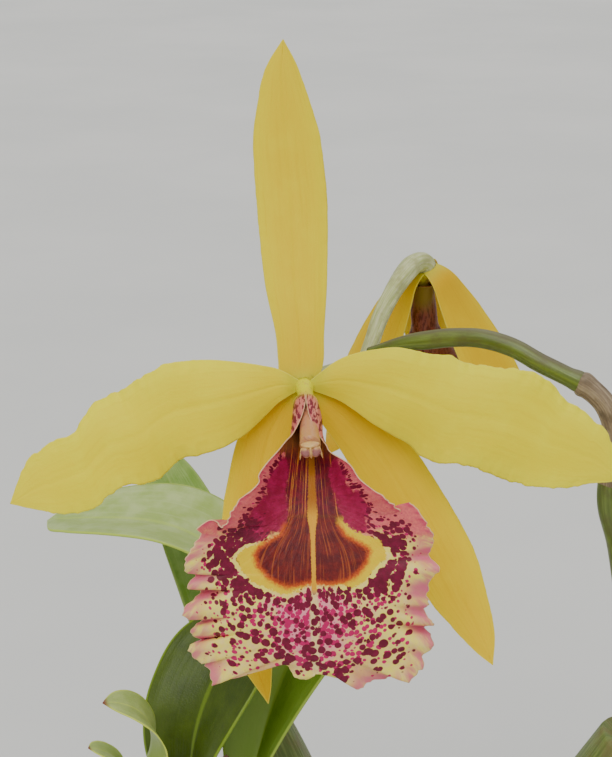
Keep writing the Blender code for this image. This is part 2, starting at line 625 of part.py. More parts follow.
def make_lip(front):
    colour = (0.72, 0.22, 0.25)
    blade("lip", lip_grid(40, 18), TEPAL_THICKNESS, finish("lip", colour, 0.55), parent=front)


def round_cap(name, centre, radii, material, parent, turn=None):
    """A small domed cap."""
    mesh = bpy.data.meshes.new(name)
    bm = bmesh.new()
    bmesh.ops.create_icosphere(bm, subdivisions=2, radius=1.0)
    place = Matrix.Translation(centre) @ (turn or Matrix.Identity(4))
    bm.transform(Matrix.Scale(MM, 4) @ place @ Matrix.Diagonal((*radii, 1.0)))
    bm.to_mesh(mesh)
    bm.free()
    mesh.shade_smooth()
    return link(name, mesh, material, parent)


def make_column(prefix, parent, swing):
    """The column and its anther cap."""
    shares = np.linspace(0, 1, 9)
    spine = swung(along(COLUMN, shares), swing)
    radii = profile(COLUMN_RADII, shares)
    mesh = stem_mesh(f"{prefix}column", spine * MM, radii * MM, 10, ends=((0, 0, 1), None))
    link(f"{prefix}column", mesh, finish(f"{prefix}column", (0.55, 0.42, 0.14)), parent)
    heading = spine[-1] - spine[-2]
    heading /= np.linalg.norm(heading)
    centre = spine[-1] + heading * (CAP_RADII[1] + 0.45)
    face = Vector(heading).to_track_quat("Y", "Z").to_matrix().to_4x4()
    colour = (0.62, 0.38, 0.22)
    round_cap(f"{prefix}anther_cap", Vector(centre), CAP_RADII, finish(f"{prefix}anther_cap", colour), parent, face)


def make_ovary(name, points, faces, parent):
    """The ribbed ovary and its stalk, from the flower stem to a bloom that faces the given way."""
    shares = np.linspace(0, 1, 12)
    spine = along(points, shares)
    radii = profile(OVARY_RADII, shares)
    ends = (None, np.array(Vector(faces).normalized()))
    mesh = stem_mesh(name, spine * MM, radii * MM, 12, ends, OVARY_RIBS, 0.05, math.radians(80))
    link(name, mesh, finish(name, (0.44, 0.46, 0.20)), parent)


def rear_tepal_grid(name):
    """A plain tepal, its foot on the rim of the ovary, turned forward round that rim."""
    toward, forward, length, half_width, offset = REAR_TEPALS[name]
    rows, columns, rim = 14, 4, 3.3
    shares = np.linspace(0, 1, rows + 1)
    width = half_width * profile(TEPAL_WIDTHS, shares)
    bend = np.radians(forward) * np.clip(shares * 9, 0, 1) ** 0.8 * (1 + 0.08 * shares)
    out = rim + np.concatenate([[0], np.cumsum(np.cos(bend[:-1]))]) * length / rows
    rise = offset + np.concatenate([[0], np.cumsum(np.sin(bend[:-1]))]) * length / rows
    angle = math.radians(toward)
    radial = np.array([math.cos(angle), math.sin(angle)])
    sideways = np.array([-radial[1], radial[0]])
    grid = np.empty((rows + 1, columns + 1, 3))
    for j, across in enumerate(np.linspace(-1, 1, columns + 1)):
        cup = 0.12 * width * across**2
        flat = (out - cup * np.sin(bend))[:, None] * radial + (width * across)[:, None] * sideways
        grid[:, j, :2] = flat
        grid[:, j, 2] = rise + cup * np.cos(bend)
    return grid * MM


def make_rear_bloom(rear):
    for name in REAR_TEPALS:
        blade(name, rear_tepal_grid(name), TEPAL_THICKNESS, finish(name, DEEP_YELLOW), parent=rear)
    grid = swung(lip_grid(26, 12, REAR_LIP_WIDTHS, REAR_LIP_LENGTHS) / MM, REAR_LIP_SWING) * MM
    blade("rear_lip", grid, TEPAL_THICKNESS, finish("rear_lip", (0.66, 0.2, 0.2)), parent=rear)


def peduncle_spine(shares):
    """The flower stem from its far end down to the pseudobulb, in world metres."""
    lean = Matrix.Rotation(math.pi / 2 - BLOOM_LEANS_BACK, 3, "X")
    upper = [Vector(BLOOM_AT) + lean @ (Vector(p) * MM) for p in PEDUNCLE]
    foot = bulb_spine("pseudobulb_flowering", [1.0])[0] + np.array([0, 0, 2 * GAP])
    near_foot = foot + np.array([0, 0, 0.012])
    return along([*map(np.array, upper), near_foot, foot], shares)


def make_peduncle():
    shares = np.linspace(0, 1, 46)
    spine = peduncle_spine(shares)
    widths = np.full(len(shares), PEDUNCLE_RADIUS)
    swelling = np.exp(-(((shares - BRACT_FROM) / 0.012) ** 2))
    in_bract = (shares > BRACT_FROM) & (shares < BRACT_TO)
    widths = np.where(in_bract, BRACT_RADIUS, widths + 0.0005 * swelling)
    widths = np.where(shares >= BRACT_TO, PEDUNCLE_RADIUS * 1.15, widths)
    mesh = stem_mesh("peduncle", spine, widths, 8, ends=(None, (0, 0, -1)))
    link("peduncle", mesh, finish("peduncle", (0.16, 0.19, 0.04), 0.45))


def main():
    clear_scene()
    make_pot()
    make_bark()
    make_rhizomes()
    make_pseudobulbs()
    make_leaves()
    make_peduncle()
    front, rear = make_bloom_frames()
    make_front_tepals(front)
    make_lip(front)
    make_column("", front, 0.0)
    make_ovary("ovary", OVARY, (0, 0, 1), front)
    make_ovary("rear_ovary", REAR_OVARY, REAR_BLOOM_FACES, front)
    make_rear_bloom(rear)
    make_column("rear_", rear, REAR_LIP_SWING)


main()
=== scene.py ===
"""Cattleya orchid in its nursery pot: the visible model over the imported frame, its materials, the
floor, the light and the camera. Lengths named _MM or given in a bloom's frame are millimetres."""

import math
import random

import bmesh
import bpy
import numpy as np
from mathutils import Matrix, Vector, noise


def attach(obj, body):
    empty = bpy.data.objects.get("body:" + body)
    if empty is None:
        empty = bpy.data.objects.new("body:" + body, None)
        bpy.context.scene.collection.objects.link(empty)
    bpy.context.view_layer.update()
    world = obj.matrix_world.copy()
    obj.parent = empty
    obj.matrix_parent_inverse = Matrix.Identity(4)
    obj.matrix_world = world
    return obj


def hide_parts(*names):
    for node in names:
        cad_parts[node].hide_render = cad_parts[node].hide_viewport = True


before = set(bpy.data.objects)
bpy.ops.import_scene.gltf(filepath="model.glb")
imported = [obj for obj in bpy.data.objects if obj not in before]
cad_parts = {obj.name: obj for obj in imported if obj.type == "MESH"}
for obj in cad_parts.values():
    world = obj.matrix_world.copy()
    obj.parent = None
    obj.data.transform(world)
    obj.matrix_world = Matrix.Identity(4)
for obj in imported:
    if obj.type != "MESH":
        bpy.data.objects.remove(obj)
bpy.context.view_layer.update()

MM = 0.001
GAP = 0.0003

# Pot and bark
POT_TOP = 0.124
POT_BASE = 0.098
POT_HEIGHT = 0.105
POT_WALL = 0.0022
POT_CORNER = 0.014
BARK_LEVEL = 0.091
CHIP_COUNT = 430
CHIP_SIZES = ((0.003, 0.0078), (0.0022, 0.0048), (0.0008, 0.0019))
CHIP_FOOT = BARK_LEVEL - 0.0058
CHIP_LIFT = 0.0056
CHIP_SHAKE = 0.0008
CHIP_FROM_WALL = 0.0075
CHIP_FROM_RHIZOME = 0.007
BED_TOP = BARK_LEVEL - 0.006
BED_HALF_HEIGHT = 0.004

# Rhizomes and pseudobulbs
RHIZOME_RADIUS = 0.0045
RHIZOMES = {
    "rhizome_left": ((-0.035, 0.032), (-0.029, 0.012), (-0.023, -0.006), (-0.031, -0.017), (-0.041, -0.023)),
    "rhizome_right": ((-0.013, 0.019), (0.000, 0.026), (0.013, 0.025), (0.026, 0.013), (0.035, -0.006)),
}
BULB_SEAT = BARK_LEVEL + GAP + 2 * RHIZOME_RADIUS + GAP
PSEUDOBULBS = {
    "pseudobulb_flowering": ((0.034, -0.005), (0.028, -0.009, 0.108), 0.0125),
    "pseudobulb_middle": ((-0.022, -0.004), (-0.021, -0.014, 0.087), 0.0120),
    "pseudobulb_back": ((-0.014, 0.026), (-0.022, 0.005, 0.087), 0.0115),
    "pseudobulb_old_right": ((0.014, 0.024), (0.010, 0.008, 0.055), 0.0105),
    "pseudobulb_old_left": ((-0.034, 0.030), (-0.0085, 0.0125, 0.052), 0.0098),
    "young_shoot": ((-0.040, -0.022), (-0.0222, -0.013, 0.112), 0.0060),
}
BULB_PROFILE = ((0.0, 0.42), (0.1, 0.55), (0.3, 0.80), (0.6, 1.0), (0.85, 0.86), (1.0, 0.66))
BULB_NODES = (0.18, 0.42, 0.68)
SHEATH_THICKNESS = 0.00022
SHEATH_GAP = 0.00035
SHEATH_FLARE = 0.0006
SHEATH_TOPS = {
    "pseudobulb_flowering": 0.62,
    "pseudobulb_middle": 0.55,
    "pseudobulb_back": 0.50,
    "pseudobulb_old_right": 0.30,
    "pseudobulb_old_left": 0.34,
    "young_shoot": 0.80,
}

# Leaves: pseudobulb, foot on its top, direction of the lean, length, half width, first and last
# angle from upright, and how sharply the leaf bends half way
LEAVES = {
    "leaf_pale": ("pseudobulb_back", (0.0, 0.0), 167, 0.103, 0.0172, -1, 98.6, 2.3),
    "leaf_dark": ("pseudobulb_middle", (-0.0058, 0.0), 50, 0.063, 0.0160, -18, 84, 1.0),
    "leaf_bright": ("pseudobulb_middle", (0.0060, 0.0), 58, 0.108, 0.0190, 23, 92, 1.25),
    "leaf_back": ("pseudobulb_old_left", (0.0, 0.0), 122, 0.118, 0.0118, 0, 58, 1.5),
    "leaf_right_back": ("pseudobulb_flowering", (0.0064, 0.0038), 28, 0.165, 0.0215, 24, 100, 1.25),
    "leaf_right_front": ("pseudobulb_flowering", (0.0042, -0.0062), -58, 0.155, 0.0205, 28, 108, 1.25),
    "young_leaf": ("young_shoot", (0.0022, 0.0), 196, 0.0256, 0.0079, -28, 80, 1.25),
    "young_leaf_small": ("young_shoot", (-0.0024, -0.0016), 205, 0.013, 0.0046, 22, 64, 1.25),
    "dry_sheath": ("pseudobulb_middle", (0.0020, -0.0058), 262, 0.022, 0.0030, -4, 8, 1.0),
}
LEAF_THICKNESS = 0.0016
YOUNG_LEAF_THICKNESS = 0.0007
LEAF_WIDTHS = ((0.0, 0.28), (0.1, 0.48), (0.25, 0.78), (0.5, 1.0), (0.75, 0.9), (0.92, 0.5), (1.0, 0.0))
LEAF_FOLDS = ((0.0, 60), (0.2, 44), (0.5, 22), (1.0, 10))
NARROW_LEAF = 0.009
NARROW_LEAF_FOLD = 0.45
YOUNG_LEAF_WIDTHS = (
    (0.0, 0.5), (0.1, 0.85), (0.25, 1.05), (0.5, 1.05), (0.75, 0.84), (0.92, 0.42), (1.0, 0.0),
)
PALE_LEAF_WIDTHS = (
    (0.0, 0.28), (0.1, 0.48), (0.25, 0.78), (0.5, 1.03), (0.75, 1.01), (0.9, 0.74), (0.96, 0.5), (1.0, 0.0),
)

# Flower spray. A bloom's frame has x to the right, y up and z out of its face
BLOOM_AT = (-0.022, -0.038, 0.312)
BLOOM_LEANS_BACK = math.radians(20)
REAR_BLOOM_AT = (30.6, 29, -55.2)
REAR_BLOOM_FACES = (0.10, -0.76, -0.64)
REAR_BLOOM_DORSAL = (0, 0.60, -0.80)
PEDUNCLE = (
    (15.5, 7.7, -30.8), (22.6, 9.5, -27), (28.9, 10.3, -24), (34.8, 10.8, -21), (40.9, 10.4, -18),
    (47.2, 8.4, -15.6), (53, 5, -13.8), (58.6, 2.1, -12.4), (63.6, -0.6, -11.6), (67.8, -5.2, -11),
    (70, -12, -11.6), (68.8, -19.8, -13.6), (69, -27.4, -16.4), (72.4, -37, -22.5),
    (76.6, -53, -33.5), (80.6, -71, -45.5),
)
PEDUNCLE_RADIUS = 0.0022
# The joint and the end of the bract, as shares of the stem from its far end
NODE_AT = 0.324
BRACT_TO = 0.487
BRACT_RADIUS = 0.0031
BRACT_PROFILE = ((0, 0.76), (0.03, 0.9), (0.12, 0.84), (0.7, 0.96), (0.95, 0.92), (1, 0.78))
OVARY = ((13.4, 5.8, -29.2), (9.4, 3.8, -22), (5, 1.9, -13), (1.6, 0.3, -6), (0.2, -0.3, -1))
REAR_OVARY = (
    (14.4, 5.4, -30.6), (16.2, 9.8, -33), (18.4, 15.8, -38), (21.7, 22.2, -43), (25, 27.2, -47.2),
    (27.4, 29.8, -50.6), (29.5, 30.5, -53.2), (30.5, 29.76, -54.56),
)
OVARY_RADII = ((0, 1.65), (0.5, 2.2), (0.85, 2.6), (1, 2.6))
OVARY_RIBS = 6
COLUMN = ((0.3, -0.4, -0.6), (0.8, -3.8, 6), (1.2, -8.2, 14.2), (1.5, -11.9, 21.2))
COLUMN_RADII = ((0, 2.2), (0.12, 1.75), (0.3, 1.9), (0.7, 1.9), (1, 2.15))
# The anther cap ahead of the column's end: centre, radii and tilt of each ellipsoid, lobes third
# and fifth
CAP_AHEAD = 1.95
CAP_VOXEL = 0.09
CAP_BLOBS = (
    ((0, 0.1, 1.25), (1.9, 1.1, 0.45), 0),
    ((0, 0.95, -0.1), (0.34, 0.75, 1.35), 0),
    ((-1, 0.55, -0.15), (0.95, 0.95, 1.25), -0.12),
    ((-2.05, 0.5, -0.5), (0.2, 0.32, 1.5), 0.16),
    ((1, 0.55, -0.15), (0.95, 0.95, 1.25), 0.12),
    ((2.05, 0.5, -0.5), (0.2, 0.32, 1.5), -0.16),
)

# Sepals and petals of the front bloom: two edges from the base to the shared tip
DORSAL_EDGES = (
    ((-1.6, 0.9), (-4.9, 2.6), (-5.4, 5.4), (-6, 11.4), (-8.2, 21.5), (-9.5, 32.7), (-10.4, 43),
     (-10.9, 53.1), (-10.3, 58.5), (-9.1, 65.4), (-7.6, 69.6), (-4.3, 74.6)),
    ((1.6, 0.9), (3.6, 2.4), (4.5, 5.6), (4.6, 11.4), (5.2, 21.5), (5.4, 32.7), (5.2, 42), (3.9, 53.1),
     (2.4, 58.8), (0.2, 65.2), (-1.5, 69.6), (-4.3, 74.6)),
)
LEFT_PETAL_EDGES = (
    ((-0.8, 1), (-5, 3.3), (-8.8, 4.2), (-14.6, 5), (-21.3, 5.4), (-28, 4.7), (-32.2, 2.9),
     (-37, 0), (-41.5, -2.2), (-45.2, -4.5), (-47.1, -7.4), (-49, -10.2), (-55.5, -13.3),
     (-59.6, -17.6), (-62.6, -25.4)),
    ((-0.8, -1), (-5, -3.6), (-7.2, -5.7), (-10.8, -9.2), (-13.4, -11.3), (-17.4, -13.5),
     (-21.6, -14.9), (-26.4, -15.9), (-29.4, -19), (-32.7, -20.9), (-37.4, -21.4), (-41.2, -23.6),
     (-45.4, -26.6), (-52, -27.3), (-62.6, -25.4)),
)
RIGHT_PETAL_EDGES = (
    ((1.6, 1), (6.9, 5), (11, 6.7), (15.5, 7.6), (20.6, 8), (26.9, 6.7), (31.6, 6.1),
     (36, 4.4), (42.8, 3.7), (47.4, 3), (52, 1.2), (56.4, -3.4), (61.1, -6.6), (65.3, -11.2),
     (68.4, -20.4)),
    ((1.6, -1), (7.3, -3.1), (11, -5.4), (14.8, -8.2), (18.7, -10.5), (22.4, -12.6),
     (25.2, -15.2), (28.6, -16.5), (33.4, -16.9), (37.6, -18), (42, -20), (47.3, -21.3),
     (54.6, -21.9), (61.4, -21), (68.4, -20.4)),
)
LEFT_LATERAL_EDGES = (
    ((-3, 0.2), (-8, -3.2), (-12.2, -7.2), (-14.6, -12.8), (-16.4, -20.6), (-17.6, -28),
     (-17.9, -38), (-16.6, -50), (-13.4, -61), (-7.5, -69.4)),
    ((-0.2, -1.6), (-0.8, -8.6), (-2, -18), (-2.6, -28), (-3.6, -38), (-4.8, -48),
     (-6.4, -58), (-6.8, -63), (-7, -66.4), (-7.5, -69.4)),
)
RIGHT_LATERAL_EDGES = (
    ((0.4, -1.6), (3.6, -7.6), (7.4, -13), (10.6, -18.2), (15, -26), (20, -35),
     (27.3, -46.7), (32.6, -53), (37.4, -58), (41.3, -61)),
    ((3.3, 0.2), (11.6, -3.4), (19, -8.2), (24.6, -14.4), (29.4, -21.6), (34, -29.2),
     (37.8, -36.8), (40.3, -46), (41.8, -54), (41.3, -61)),
)

# Lip stations from the claw to the notch: middle, left margin, right margin
LIP_STATIONS = (
    ((0.2, -4.9, 0.9), (-1.7, -4.7, 1.1), (2.1, -4.7, 1.1)),
    ((0.5, -6.9, 4.2), (-0.3, -2.3, 4.6), (1.4, -2.3, 4.6)),
    ((0.9, -9, 7.6), (0.5, -2, 8.4), (0.7, -2, 8.4)),
    ((1.2, -11.3, 10.6), (0.5, -3.9, 12), (0.75, -3.9, 12)),
    ((1.3, -13.9, 13), (-0.45, -7, 15.6), (1.65, -7.2, 15.6)),
    ((1.3, -16.6, 15), (-2.7, -10.9, 18.4), (4.6, -12, 18.4)),
    ((1.5, -19.8, 17), (-7, -15.6, 23.6), (9.3, -16.2, 23.2)),
    ((1.7, -24.6, 19.3), (-13.2, -22.3, 28), (16.3, -21.4, 27.6)),
    ((1.8, -31, 21.4), (-19.9, -27.4, 27.6), (23.8, -25.2, 27)),
    ((1.9, -38, 22.6), (-23.2, -37, 25), (27, -36, 24.2)),
    ((2, -45, 22.4), (-23, -49.8, 20), (26.6, -49.4, 19.4)),
    ((2.2, -51.4, 20.6), (-17.8, -59.8, 15.8), (21.6, -60.2, 15.4)),
    ((2.4, -56, 18.6), (-7.6, -58, 16.6), (11.4, -59.4, 16.2)),
    ((2.6, -58.6, 17), (2.6, -58.6, 17), (2.6, -58.6, 17)),
)
LIP_SIDE_BULGE = ((0, 0.3), (1, 1.9), (2, 2.5), (3, 2.8), (4, 2.4), (5, 1.2), (6, 0.2), (7, 0), (13, 0))
LIP_BACK_BULGE = ((0, 0), (4, 0), (5, 0.8), (6, 2), (7, 2.8), (8, 2), (9, 0.4), (10, -1), (13, -0.4))
LIP_TUBE = ((0, 1), (4, 1), (5, 0.8), (6, 0.4), (7, 0.1), (8, 0), (13, 0))
LIP_FRILL = ((0, 0), (5, 0.1), (6, 0.5), (8, 1), (11, 1.2), (12.4, 0.8), (13, 0))
FRILL_WAVES = 11
FRILL_HEIGHT = 1.5

# The lip's toothed margins as the camera sees them, from station 5 to the notch, in the plane of
# the bloom's centre. The landmarks say which of the points lie at which stations.
LEFT_MARGIN = (
    (-2.8, -10.7), (-4.9, -13.6), (-7.8, -16.8), (-9.5, -19.3), (-9.5, -20.9), (-11.2, -22.8),
    (-13.8, -24.7), (-15.5, -27.5), (-16.1, -29.2), (-17.6, -30.7), (-19.8, -29), (-22.6, -30.5),
    (-22.4, -32.7), (-23.9, -34.8), (-25.4, -38.1), (-24.9, -40.4), (-23.2, -40.6), (-24.9, -43.6),
    (-22.1, -44.5), (-25.6, -48.2), (-24.5, -49.9), (-22.1, -50.7), (-24.5, -52.9), (-22.4, -55),
    (-24.3, -56.3), (-22.6, -59.8), (-20.9, -60), (-18.9, -64.1), (-18.1, -60.8), (-16.3, -63.2),
    (-13.3, -61.3), (-8.8, -59.8), (-4.9, -59.8), (-2.8, -60.8), (-1.9, -62.6), (0.7, -63.4),
    (2.8, -62.1),
)
LEFT_LANDMARKS = ((0, 5), (2, 6), (6, 7), (11, 8), (15, 9), (22, 10), (27, 11), (31, 12), (36, 13))
RIGHT_MARGIN = (
    (4.8, -12.6), (5.8, -14.4), (9.9, -16.9), (12.2, -20.2), (15.2, -22.6), (17.4, -23.9), (19.6, -26),
    (21.3, -27.1), (23.4, -25.2), (26.2, -28.8), (28, -32.2), (28.2, -34), (27.3, -36.8),
    (29.2, -39.3), (27.5, -41.5), (26.7, -44.1), (27.1, -46.9), (26, -48.8), (28.2, -51.4),
    (26.7, -52.2), (27.7, -54.4), (28.2, -56.1), (26.2, -57.6), (25.8, -60), (24.5, -61.5),
    (23.2, -63.9), (21.7, -63), (19.1, -62.8), (14.8, -63.6), (11.8, -65.4), (10.1, -63.4),
    (9.5, -61.5), (7.5, -62.8), (4.3, -62.3), (2.8, -62.1),
)
RIGHT_LANDMARKS = ((0, 5), (2, 6), (5, 7), (8, 8), (13, 9), (19, 10), (25, 11), (30, 12), (34, 13))

# The lip's markings in the same plane: outlines of each colour's field
EYES = (
    (-3, -24), (-3.2, -29.9), (-4.3, -32.7), (-6.7, -34), (-9, -35.5), (-9.7, -36.5), (-9.2, -38.5),
    (-7.1, -40.8), (-4.9, -42.2), (-3.2, -42.8), (-1.3, -42.4), (1.5, -41.8), (2.4, -41.3),
    (3.2, -41.9), (5.8, -42), (8.6, -41.7), (11, -40.4), (13.1, -37.8), (13.6, -35.7), (11.4, -34.4),
    (8.6, -32.9), (7.1, -30.3), (7, -24),
)
HALO = (
    (-3.4, -24), (-3.4, -29.7), (-5.2, -31.6), (-7.1, -32.9), (-9.7, -34), (-12.2, -34.8), (-14.4, -36.1),
    (-14.7, -38.3), (-12.9, -40.8), (-11.2, -42.6), (-7.9, -44.1), (-4.9, -45.1), (-3.2, -45.6),
    (-0.4, -44.3), (1.1, -43.2), (3.2, -43.1), (5.6, -43.2), (8.6, -43.4), (11, -43.9), (13.8, -42.1),
    (15.7, -40), (18.1, -37.2), (18.1, -35.7), (17, -33.3), (14.6, -32.5), (12, -31.5),
    (9.2, -29.7), (8, -24),
)
CRIMSON_LEFT = (
    (-2.4, -11.8), (-4.7, -16.3), (-6.8, -19.7), (-7.7, -21.9), (-8.3, -24.3), (-10.1, -25.9),
    (-11.8, -28.2), (-12.7, -30.5), (-12.4, -32.2), (-9.5, -32.9), (-6.1, -31.8), (-3.9, -30.5),
    (-3.2, -28.2), (-3.5, -25.6), (-4.1, -23), (-3.6, -20.3), (-3.1, -17.6), (-2.6, -15),
)
CRIMSON_RIGHT = (
    (5.6, -13.5), (7.7, -17.4), (9, -20.3), (10.1, -22.3), (11.6, -23), (12.7, -24.9), (13.6, -25.9),
    (13.3, -28.2), (13, -31.2), (11, -31.2), (9, -29.2), (7.7, -26.2), (6.7, -23), (5.9, -19.7),
    (5.5, -16.6),
)
THROAT = (
    (-2.6, -9.7), (-2.6, -15), (-3.1, -17.6), (-3.6, -20.3), (-4.1, -23), (-3.5, -25.6), (-3.2, -28.2),
    (-4.1, -30.5), (-2.8, -31.8), (7.1, -31.8), (9, -29.5), (7.7, -26.2), (6.7, -23), (5.9, -19.7),
    (5.5, -16.6), (5.4, -9.7),
)
MIDLINE_X = 1.94
FAN_CENTRE = (2, -24)
# Half width of the fan of stripes and of the midline stripe, by height
FAN_WIDTHS = (
    (-62, 11.8), (-43, 11.8), (-38, 11.4), (-35, 10.2), (-31.5, 7.4), (-28, 5.6), (-24.7, 5.2),
    (-20, 4.7), (-14, 4.1), (0, 3.4),
)
MIDLINE_WIDTHS = (
    (-62, 0.7), (-55, 0.95), (-47, 0.95), (-44, 0.6), (-38, 0.5), (-31.5, 0.65), (-28, 1.15),
    (-24.7, 0.95), (-15, 0.75), (0, 0.7),
)

# Rear bloom: tepal direction round the axis, how far it points forward, length, half width and
# how far its foot is set forward
REAR_TEPALS = {
    "rear_dorsal_sepal": (90, 66, 60, 6.6, -0.8),
    "rear_left_petal": (172, 64, 56, 7, 0.6),
    "rear_right_petal": (8, 64, 56, 7, 0.8),
    "rear_left_lateral_sepal": (-137, 55, 62, 8.2, -1.2),
    "rear_right_lateral_sepal": (-31, 55, 57, 8.4, -0.9),
}
REAR_TEPAL_RIM = 1.6
TEPAL_WIDTHS = ((0, 0.3), (0.12, 0.55), (0.35, 0.9), (0.55, 1), (0.8, 0.74), (0.94, 0.34), (1, 0))
REAR_LIP_SWING = math.radians(-38)
REAR_LIP_WIDTHS = ((0, 1), (5, 1), (8, 0.55), (10, 0.48), (13, 0.48))
REAR_LIP_LENGTHS = ((0, 1), (5, 1), (8, 0.8), (13, 0.62))

# Thickness at the margins of tepals and lips in millimetres, and what their middles have more
TEPAL_MARGIN = 0.22
LIP_MARGIN = 0.2
THICKENS_BY = 0.34
# How deep light goes into translucent tissue
GLOW_DEPTH = 0.0016

# Rows and columns of the blades
FRONT_TEPAL_MESH = (200, 46)
REAR_TEPAL_MESH = (120, 32)
LIP_MESH = (340, 120)
REAR_LIP_MESH = (150, 60)
LEAF_MESH = (140, 36)
NARROW_LEAF_MESH = (90, 26)

# Camera
VIEW_DISTANCE_MM = 320.0
VIEW_SHIFT_MM = (0.65, 1.4)
LENS = 70.76


def srgb(colour):
    """Linear values of a colour given as 0 to 255 on screen."""
    shares = [c / 255 for c in colour]
    return [c / 12.92 if c < 0.04045 else ((c + 0.055) / 1.055) ** 2.4 for c in shares]


def spline(points, at):
    """Smooth curve through the points. at counts along them, with 0 at the first."""
    points = np.asarray(points, float)
    padded = np.vstack([2 * points[0] - points[1], points, 2 * points[-1] - points[-2]])
    first = np.clip(np.floor(at).astype(int), 0, len(points) - 2)
    f = (at - first)[:, None]
    a, b, c, d = (padded[first + k] for k in range(4))
    bent = (2 * a - 5 * b + 4 * c - d) * f**2 + (3 * b - a - 3 * c + d) * f**3
    return 0.5 * (2 * b + (c - a) * f + bent)


def lengths(points, axis=0):
    """Distances along rows of points, from 0 at the first."""
    steps = np.linalg.norm(np.diff(points, axis=axis), axis=-1)
    return np.insert(np.cumsum(steps, axis=axis), 0, 0.0, axis=axis)


def along(points, shares):
    """Smooth curve through the points, read at shares of its length."""
    fine = spline(points, np.linspace(0, len(points) - 1, 30 * len(points)))
    run = lengths(fine)
    return np.stack([np.interp(np.asarray(shares) * run[-1], run, axis) for axis in fine.T], 1)


def profile(pairs, at):
    """Smooth curve through (place, value) pairs, read at the places in at."""
    place, value = np.asarray(pairs, float).T
    slope = np.gradient(value, place)
    k = np.clip(np.searchsorted(place, at, "right") - 1, 0, len(place) - 2)
    wide = place[k + 1] - place[k]
    f = (at - place[k]) / wide
    start = (1 + 2 * f) * (1 - f) ** 2 * value[k] + f * (1 - f) ** 2 * wide * slope[k]
    end = f**2 * (3 - 2 * f) * value[k + 1] + f**2 * (f - 1) * wide * slope[k + 1]
    return start + end


def ramp(value, low, high):
    """0 at low and 1 at high, with a smooth way between, also where low is the greater."""
    share = np.clip((value - low) / (high - low), 0, 1)
    return share * share * (3 - 2 * share)


def bell(value, middle, width):
    return np.exp(-(((value - middle) / width) ** 2))


def hump(shares, power=1.0):
    """0 at both ends and 1 half way."""
    return np.sin(math.pi * shares) ** power


def ripple(at, seed, octaves=2):
    """Smooth irregular wave over at, between about -1 and 1."""
    total = np.zeros_like(at)
    for octave in range(octaves):
        wave = [noise.noise(Vector((x * 2**octave, seed * 7.3, octave * 3.1))) for x in at]
        total += np.array(wave) / 1.6**octave
    return total


def inside(points, outline):
    """Distance in from an outline, negative outside it."""
    outline = np.asarray(outline, float)
    nearest = np.full(points.shape[:-1], 1e9)
    crossings = np.zeros(points.shape[:-1], bool)
    x, y = points[..., 0], points[..., 1]
    for a, b in zip(outline, np.roll(outline, -1, axis=0)):
        edge = b - a
        share = np.clip(((points - a) @ edge) / (edge @ edge), 0, 1)
        nearest = np.minimum(nearest, np.linalg.norm(points - a - share[..., None] * edge, axis=-1))
        if a[1] != b[1]:
            cut = a[0] + (y - a[1]) * edge[0] / edge[1]
            crossings ^= ((a[1] > y) != (b[1] > y)) & (x < cut)
    return np.where(crossings, nearest, -nearest)


